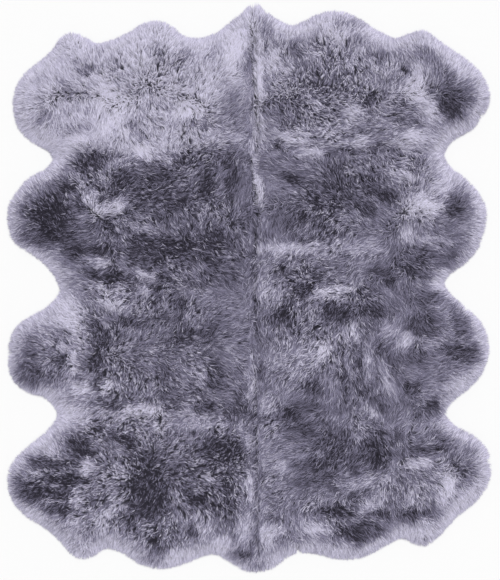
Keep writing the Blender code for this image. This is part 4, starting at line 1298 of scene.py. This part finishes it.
def suede(colours):
    """Suede, the tanned flesh side of a sheepskin, shaved and brushed. It is dead matt, with a
    short nap, a cloudy tone where the skin took the tan unevenly, and fine creases."""
    material, tree = new_material("suede")
    place = add_node(tree, "ShaderNodeTexCoord").outputs["Object"]
    clouds = add_node(
        tree,
        "ShaderNodeTexNoise",
        inputs={"Vector": place, "Scale": 1 / CLOUD, "Detail": 3.0, "Roughness": 0.6},
    )
    nap = add_node(
        tree,
        "ShaderNodeTexNoise",
        inputs={"Vector": place, "Scale": 1 / NAP, "Detail": 4.0, "Roughness": 0.7},
    )
    creases = add_node(
        tree,
        "ShaderNodeTexVoronoi",
        {"feature": "DISTANCE_TO_EDGE"},
        {"Vector": place, "Scale": 1 / CREASES},
    )
    cloudy = add_node(
        tree,
        "ShaderNodeMapRange",
        inputs={"Value": clouds.outputs[0], **NOISE_RANGE, "To Min": 0.80, "To Max": 1.08},
    )
    brushed = add_node(
        tree,
        "ShaderNodeMapRange",
        inputs={"Value": nap.outputs[0], **NOISE_RANGE, "To Min": 0.9, "To Max": 1.06},
    )
    tone = add_node(
        tree,
        "ShaderNodeMath",
        {"operation": "MULTIPLY"},
        {0: cloudy.outputs["Result"], 1: brushed.outputs["Result"]},
    )
    colour = add_node(
        tree,
        "ShaderNodeMix",
        {"data_type": "RGBA", "blend_type": "MULTIPLY"},
        {"Factor": 1.0, 6: tuple(colours.hide), 7: tone.outputs[0]},
    )
    folds = add_node(
        tree,
        "ShaderNodeMapRange",
        inputs={"Value": creases.outputs["Distance"], "From Max": 0.12, "To Min": 0.0, "To Max": 0.6},
    )
    relief = add_node(
        tree,
        "ShaderNodeMath",
        {"operation": "ADD"},
        {0: folds.outputs["Result"], 1: nap.outputs[0]},
    )
    bump = add_node(
        tree,
        "ShaderNodeBump",
        inputs={"Height": relief.outputs[0], "Strength": 0.5, "Distance": 0.0004},
    )
    shader = add_node(
        tree,
        "ShaderNodeBsdfPrincipled",
        inputs={
            "Base Color": colour.outputs[2],
            "Roughness": 0.95,
            "Specular IOR Level": 0.2,
            "Sheen Weight": 0.25,
            "Sheen Roughness": 0.6,
            "Normal": bump.outputs[0],
        },
    )
    add_node(tree, "ShaderNodeOutputMaterial", inputs={"Surface": shader.outputs[0]})
    return material


def spun_thread(colours):
    """Waxed polyester thread, spun from short fibres in two plies. It has a dull gleam, and its
    twist shows as slanting bands about as long as the thread is thick."""
    material, tree = new_material("spun_thread")
    place = add_node(tree, "ShaderNodeTexCoord").outputs["Object"]
    twist = add_node(
        tree,
        "ShaderNodeTexWave",
        {"bands_direction": "DIAGONAL"},
        {"Vector": place, "Scale": WAVE_SCALE / THREAD, "Distortion": 1.0, "Detail": 1.0},
    )
    plies = add_node(
        tree,
        "ShaderNodeMapRange",
        inputs={"Value": twist.outputs["Fac"], "To Min": 0.7, "To Max": 1.1},
    )
    colour = add_node(
        tree,
        "ShaderNodeMix",
        {"data_type": "RGBA", "blend_type": "MULTIPLY"},
        {"Factor": 1.0, 6: tuple(colours.thread), 7: plies.outputs["Result"]},
    )
    bump = add_node(
        tree,
        "ShaderNodeBump",
        inputs={"Height": twist.outputs["Fac"], "Strength": 0.4, "Distance": 0.0001},
    )
    shader = add_node(
        tree,
        "ShaderNodeBsdfPrincipled",
        inputs={"Base Color": colour.outputs[2], "Roughness": 0.6, "Normal": bump.outputs[0]},
    )
    add_node(tree, "ShaderNodeOutputMaterial", inputs={"Surface": shader.outputs[0]})
    return material


def floor_paint():
    """Matt white paint on a smooth floor."""
    material, tree = new_material("matt_white_floor")
    shader = add_node(
        tree,
        "ShaderNodeBsdfPrincipled",
        inputs={"Base Color": from_hex("#F4F4F4"), "Roughness": 0.9},
    )
    add_node(tree, "ShaderNodeOutputMaterial", inputs={"Surface": shader.outputs[0]})
    return material


def cut_hide(rug, name):
    """One pelt's hide: a flat sheet with softened edges, lifted a little along its seams, where
    the stitches pass under it."""
    outline = rug.outlines[name]
    edges = edges_of(outline)
    inward = unit(edges[:, 1] - edges[:, 0])[:, ::-1] * (-1, 1)
    flat = edges.mean(1) + SEAM_LIFT_WIDTH * inward
    clear = distance_to(flat, edges) > ROW_KEPT * SEAM_LIFT_WIDTH
    flat = flat[is_inside(flat, outline) & clear]
    plan = np.concatenate([outline, flat])
    to_seam = distance_to(plan, np.array(rug.centre + rug.across))
    heights = np.where(to_seam < SEAM_REACH, SEAM_LIFT, 0.0)
    mesh = bpy.data.meshes.new(name.replace("pelt", "hide"))
    mesh.from_pydata(np.column_stack([plan, heights]).tolist(), [], triangulated(outline, flat))
    item = bpy.data.objects.new(mesh.name, mesh)
    bpy.context.scene.collection.objects.link(item)
    bpy.ops.object.select_all(action="DESELECT")
    item.select_set(True)
    bpy.context.view_layer.objects.active = item
    thick = item.modifiers.new("thickness", "SOLIDIFY")
    thick.thickness = HIDE - SEAM_LIFT
    thick.offset = 1
    soft = item.modifiers.new("soft_edges", "BEVEL")
    soft.width = SOFT_EDGE
    soft.segments = 2
    soft.angle_limit = math.radians(SOFT_ANGLE)
    for modifier in (thick, soft):
        bpy.ops.object.modifier_apply(modifier=modifier.name)
    return item


def model_stitch():
    """One stitch of a seam that runs along X. It lies across the seam, slanting, under the two
    hides, and its ends rise into them."""
    bpy.ops.object.select_all(action="DESELECT")
    bpy.ops.mesh.primitive_cylinder_add(
        vertices=THREAD_SIDES, radius=THREAD / 2, depth=STITCH, rotation=(math.pi / 2, 0, 0)
    )
    item = bpy.context.object
    bpy.ops.object.transform_apply(location=False, rotation=True, scale=False)
    bpy.ops.object.mode_set(mode="EDIT")
    bpy.ops.mesh.select_all(action="SELECT")
    for y in (-STITCH_BENDS * STITCH, STITCH_BENDS * STITCH):
        bpy.ops.mesh.bisect(plane_co=(0, y, 0), plane_no=(0, 1, 0))
        bpy.ops.mesh.select_all(action="SELECT")
    bpy.ops.mesh.quads_convert_to_tris()
    bpy.ops.object.mode_set(mode="OBJECT")
    points = np.array([vert.co for vert in item.data.vertices])
    triangles = np.array([tuple(face.vertices) for face in item.data.polygons])
    bpy.data.objects.remove(item)
    out = np.abs(points[:, 1]) / (STITCH / 2)
    points[:, 2] += THREAD * (STITCH_HEIGHT + STITCH_RISE * out**4)
    points[:, 0] += STITCH_SLANT * points[:, 1]
    return points, triangles


def sewn_seams(rug):
    """Copies of the stitch along every seam, each seam once."""
    stitch, triangles = model_stitch()
    parts = []
    chance = np.random.default_rng(99)
    down = [edge for edge in rug.centre if edge[1, 1] < edge[0, 1]]
    right = [edge for edge in rug.across if edge[1, 0] > edge[0, 0]]
    for start, end in down + right:
        length = np.linalg.norm(end - start)
        along = (end - start) / length
        count = round(length / STITCH_PITCH)
        for k in range(count):
            uneven = chance.uniform(-STITCH_UNEVEN, STITCH_UNEVEN)
            middle = start + along * (k + 0.5 + uneven) / count * length
            points = stitch.copy()
            across = (-along[1], along[0])
            points[:, :2] = middle + points[:, :1] * along + points[:, 1:2] * across
            parts.append((points, triangles, np.zeros((len(points), 2)), np.zeros_like(points)))
    return mesh_of("overcast_seams", parts)


RUG = RugMap(frame["nodes"])  # read once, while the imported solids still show


class RUG_OT_cut_hides(bpy.types.Operator):
    """Cuts the eight hides that the wool grows on"""

    bl_idname = "rug.cut_hides"
    bl_label = "Cut the hides"

    def execute(self, context):
        material = suede(context.scene.rug_colours)
        for name, outline in RUG.outlines.items():
            item = cut_hide(RUG, name)
            item.data.materials.append(material)
            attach(item, "root")
        return {"FINISHED"}


class RUG_OT_sew_seams(bpy.types.Operator):
    """Sews the hides together, edge to edge, with an overcast seam on the flesh side"""

    bl_idname = "rug.sew_seams"
    bl_label = "Sew the seams"

    def execute(self, context):
        item = sewn_seams(RUG)
        item.data.materials.append(spun_thread(context.scene.rug_colours))
        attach(item, "root")
        return {"FINISHED"}


class RUG_OT_grow_wool(bpy.types.Operator):
    """Grows the wool of every pelt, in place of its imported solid"""

    bl_idname = "rug.grow_wool"
    bl_label = "Grow the wool"

    def execute(self, context):
        material = long_wool(context.scene.rug_colours)
        for number, name in enumerate(PELTS):
            chance = np.random.default_rng(number)
            parts = [
                closed_fleece(RUG, name, chance),
                grown_locks(RUG, name, context.scene.rug_wool, chance),
            ]
            item = mesh_of(name.replace("pelt", "wool"), parts)
            item.data.materials.append(material)
            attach(item, "root")
            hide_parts(name)
        return {"FINISHED"}


class RUG_OT_set_stage(bpy.types.Operator):
    """Lays the floor, hangs the lights and puts the camera over the rug"""

    bl_idname = "rug.set_stage"
    bl_label = "Set the stage"

    def execute(self, context):
        stage = context.scene.rug_stage
        bpy.ops.mesh.primitive_plane_add(size=FLOOR_SIZE, location=(0, 0, 0))
        floor = context.object
        floor.name = "floor"
        floor.data.materials.append(floor_paint())

        world = bpy.data.worlds.new("studio")
        context.scene.world = world
        world.use_nodes = True
        background = world.node_tree.nodes["Background"]
        background.inputs["Color"].default_value = (1, 1, 1, 1)
        background.inputs["Strength"].default_value = WORLD_STRENGTH
        bpy.ops.object.light_add(type="SUN", location=LAMP_PLACE)
        lamp = context.object
        lamp.name = "wide_softbox"
        lamp.data.angle = math.radians(LAMP_ANGLE)
        lamp.data.energy = LAMP_STRENGTH
        lamp.rotation_euler = lamp.location.to_track_quat("Z", "Y").to_euler()

        bpy.ops.object.camera_add(location=(*PICTURE_MIDDLE, stage.height), rotation=(0, 0, 0))
        camera = context.object
        camera.data.lens = stage.lens
        camera.data.sensor_width = SENSOR_WIDTH
        context.scene.camera = camera
        context.scene.view_settings.view_transform = "Standard"
        return {"FINISHED"}


class RUG_PT_pieces(bpy.types.Panel):
    """The rug's pieces, in the order that they are made"""

    bl_label = "Sheepskin rug"
    bl_space_type = "VIEW_3D"
    bl_region_type = "UI"
    bl_category = "Rug"

    def draw(self, context):
        for group in GROUPS:
            settings = getattr(context.scene, group)
            column = self.layout.column()
            for name in settings.bl_rna.properties.keys():
                if name not in ("rna_type", "name"):
                    column.prop(settings, name)
        for operator in OPERATORS:
            self.layout.operator(operator.bl_idname)


GROUPS = {"rug_wool": RugWool, "rug_colours": RugColours, "rug_stage": RugStage}
OPERATORS = (RUG_OT_grow_wool, RUG_OT_cut_hides, RUG_OT_sew_seams, RUG_OT_set_stage)
CLASSES = (*GROUPS.values(), *OPERATORS, RUG_PT_pieces)


def register():
    for cls in CLASSES:
        bpy.utils.register_class(cls)
    for name, group in GROUPS.items():
        setattr(bpy.types.Scene, name, bpy.props.PointerProperty(type=group))


def unregister():
    for name in GROUPS:
        delattr(bpy.types.Scene, name)
    for cls in reversed(CLASSES):
        bpy.utils.unregister_class(cls)


def main():
    register()
    bpy.ops.rug.grow_wool()
    bpy.ops.rug.cut_hides()
    bpy.ops.rug.sew_seams()
    bpy.ops.rug.set_stage()


if __name__ == "__main__":
    main()
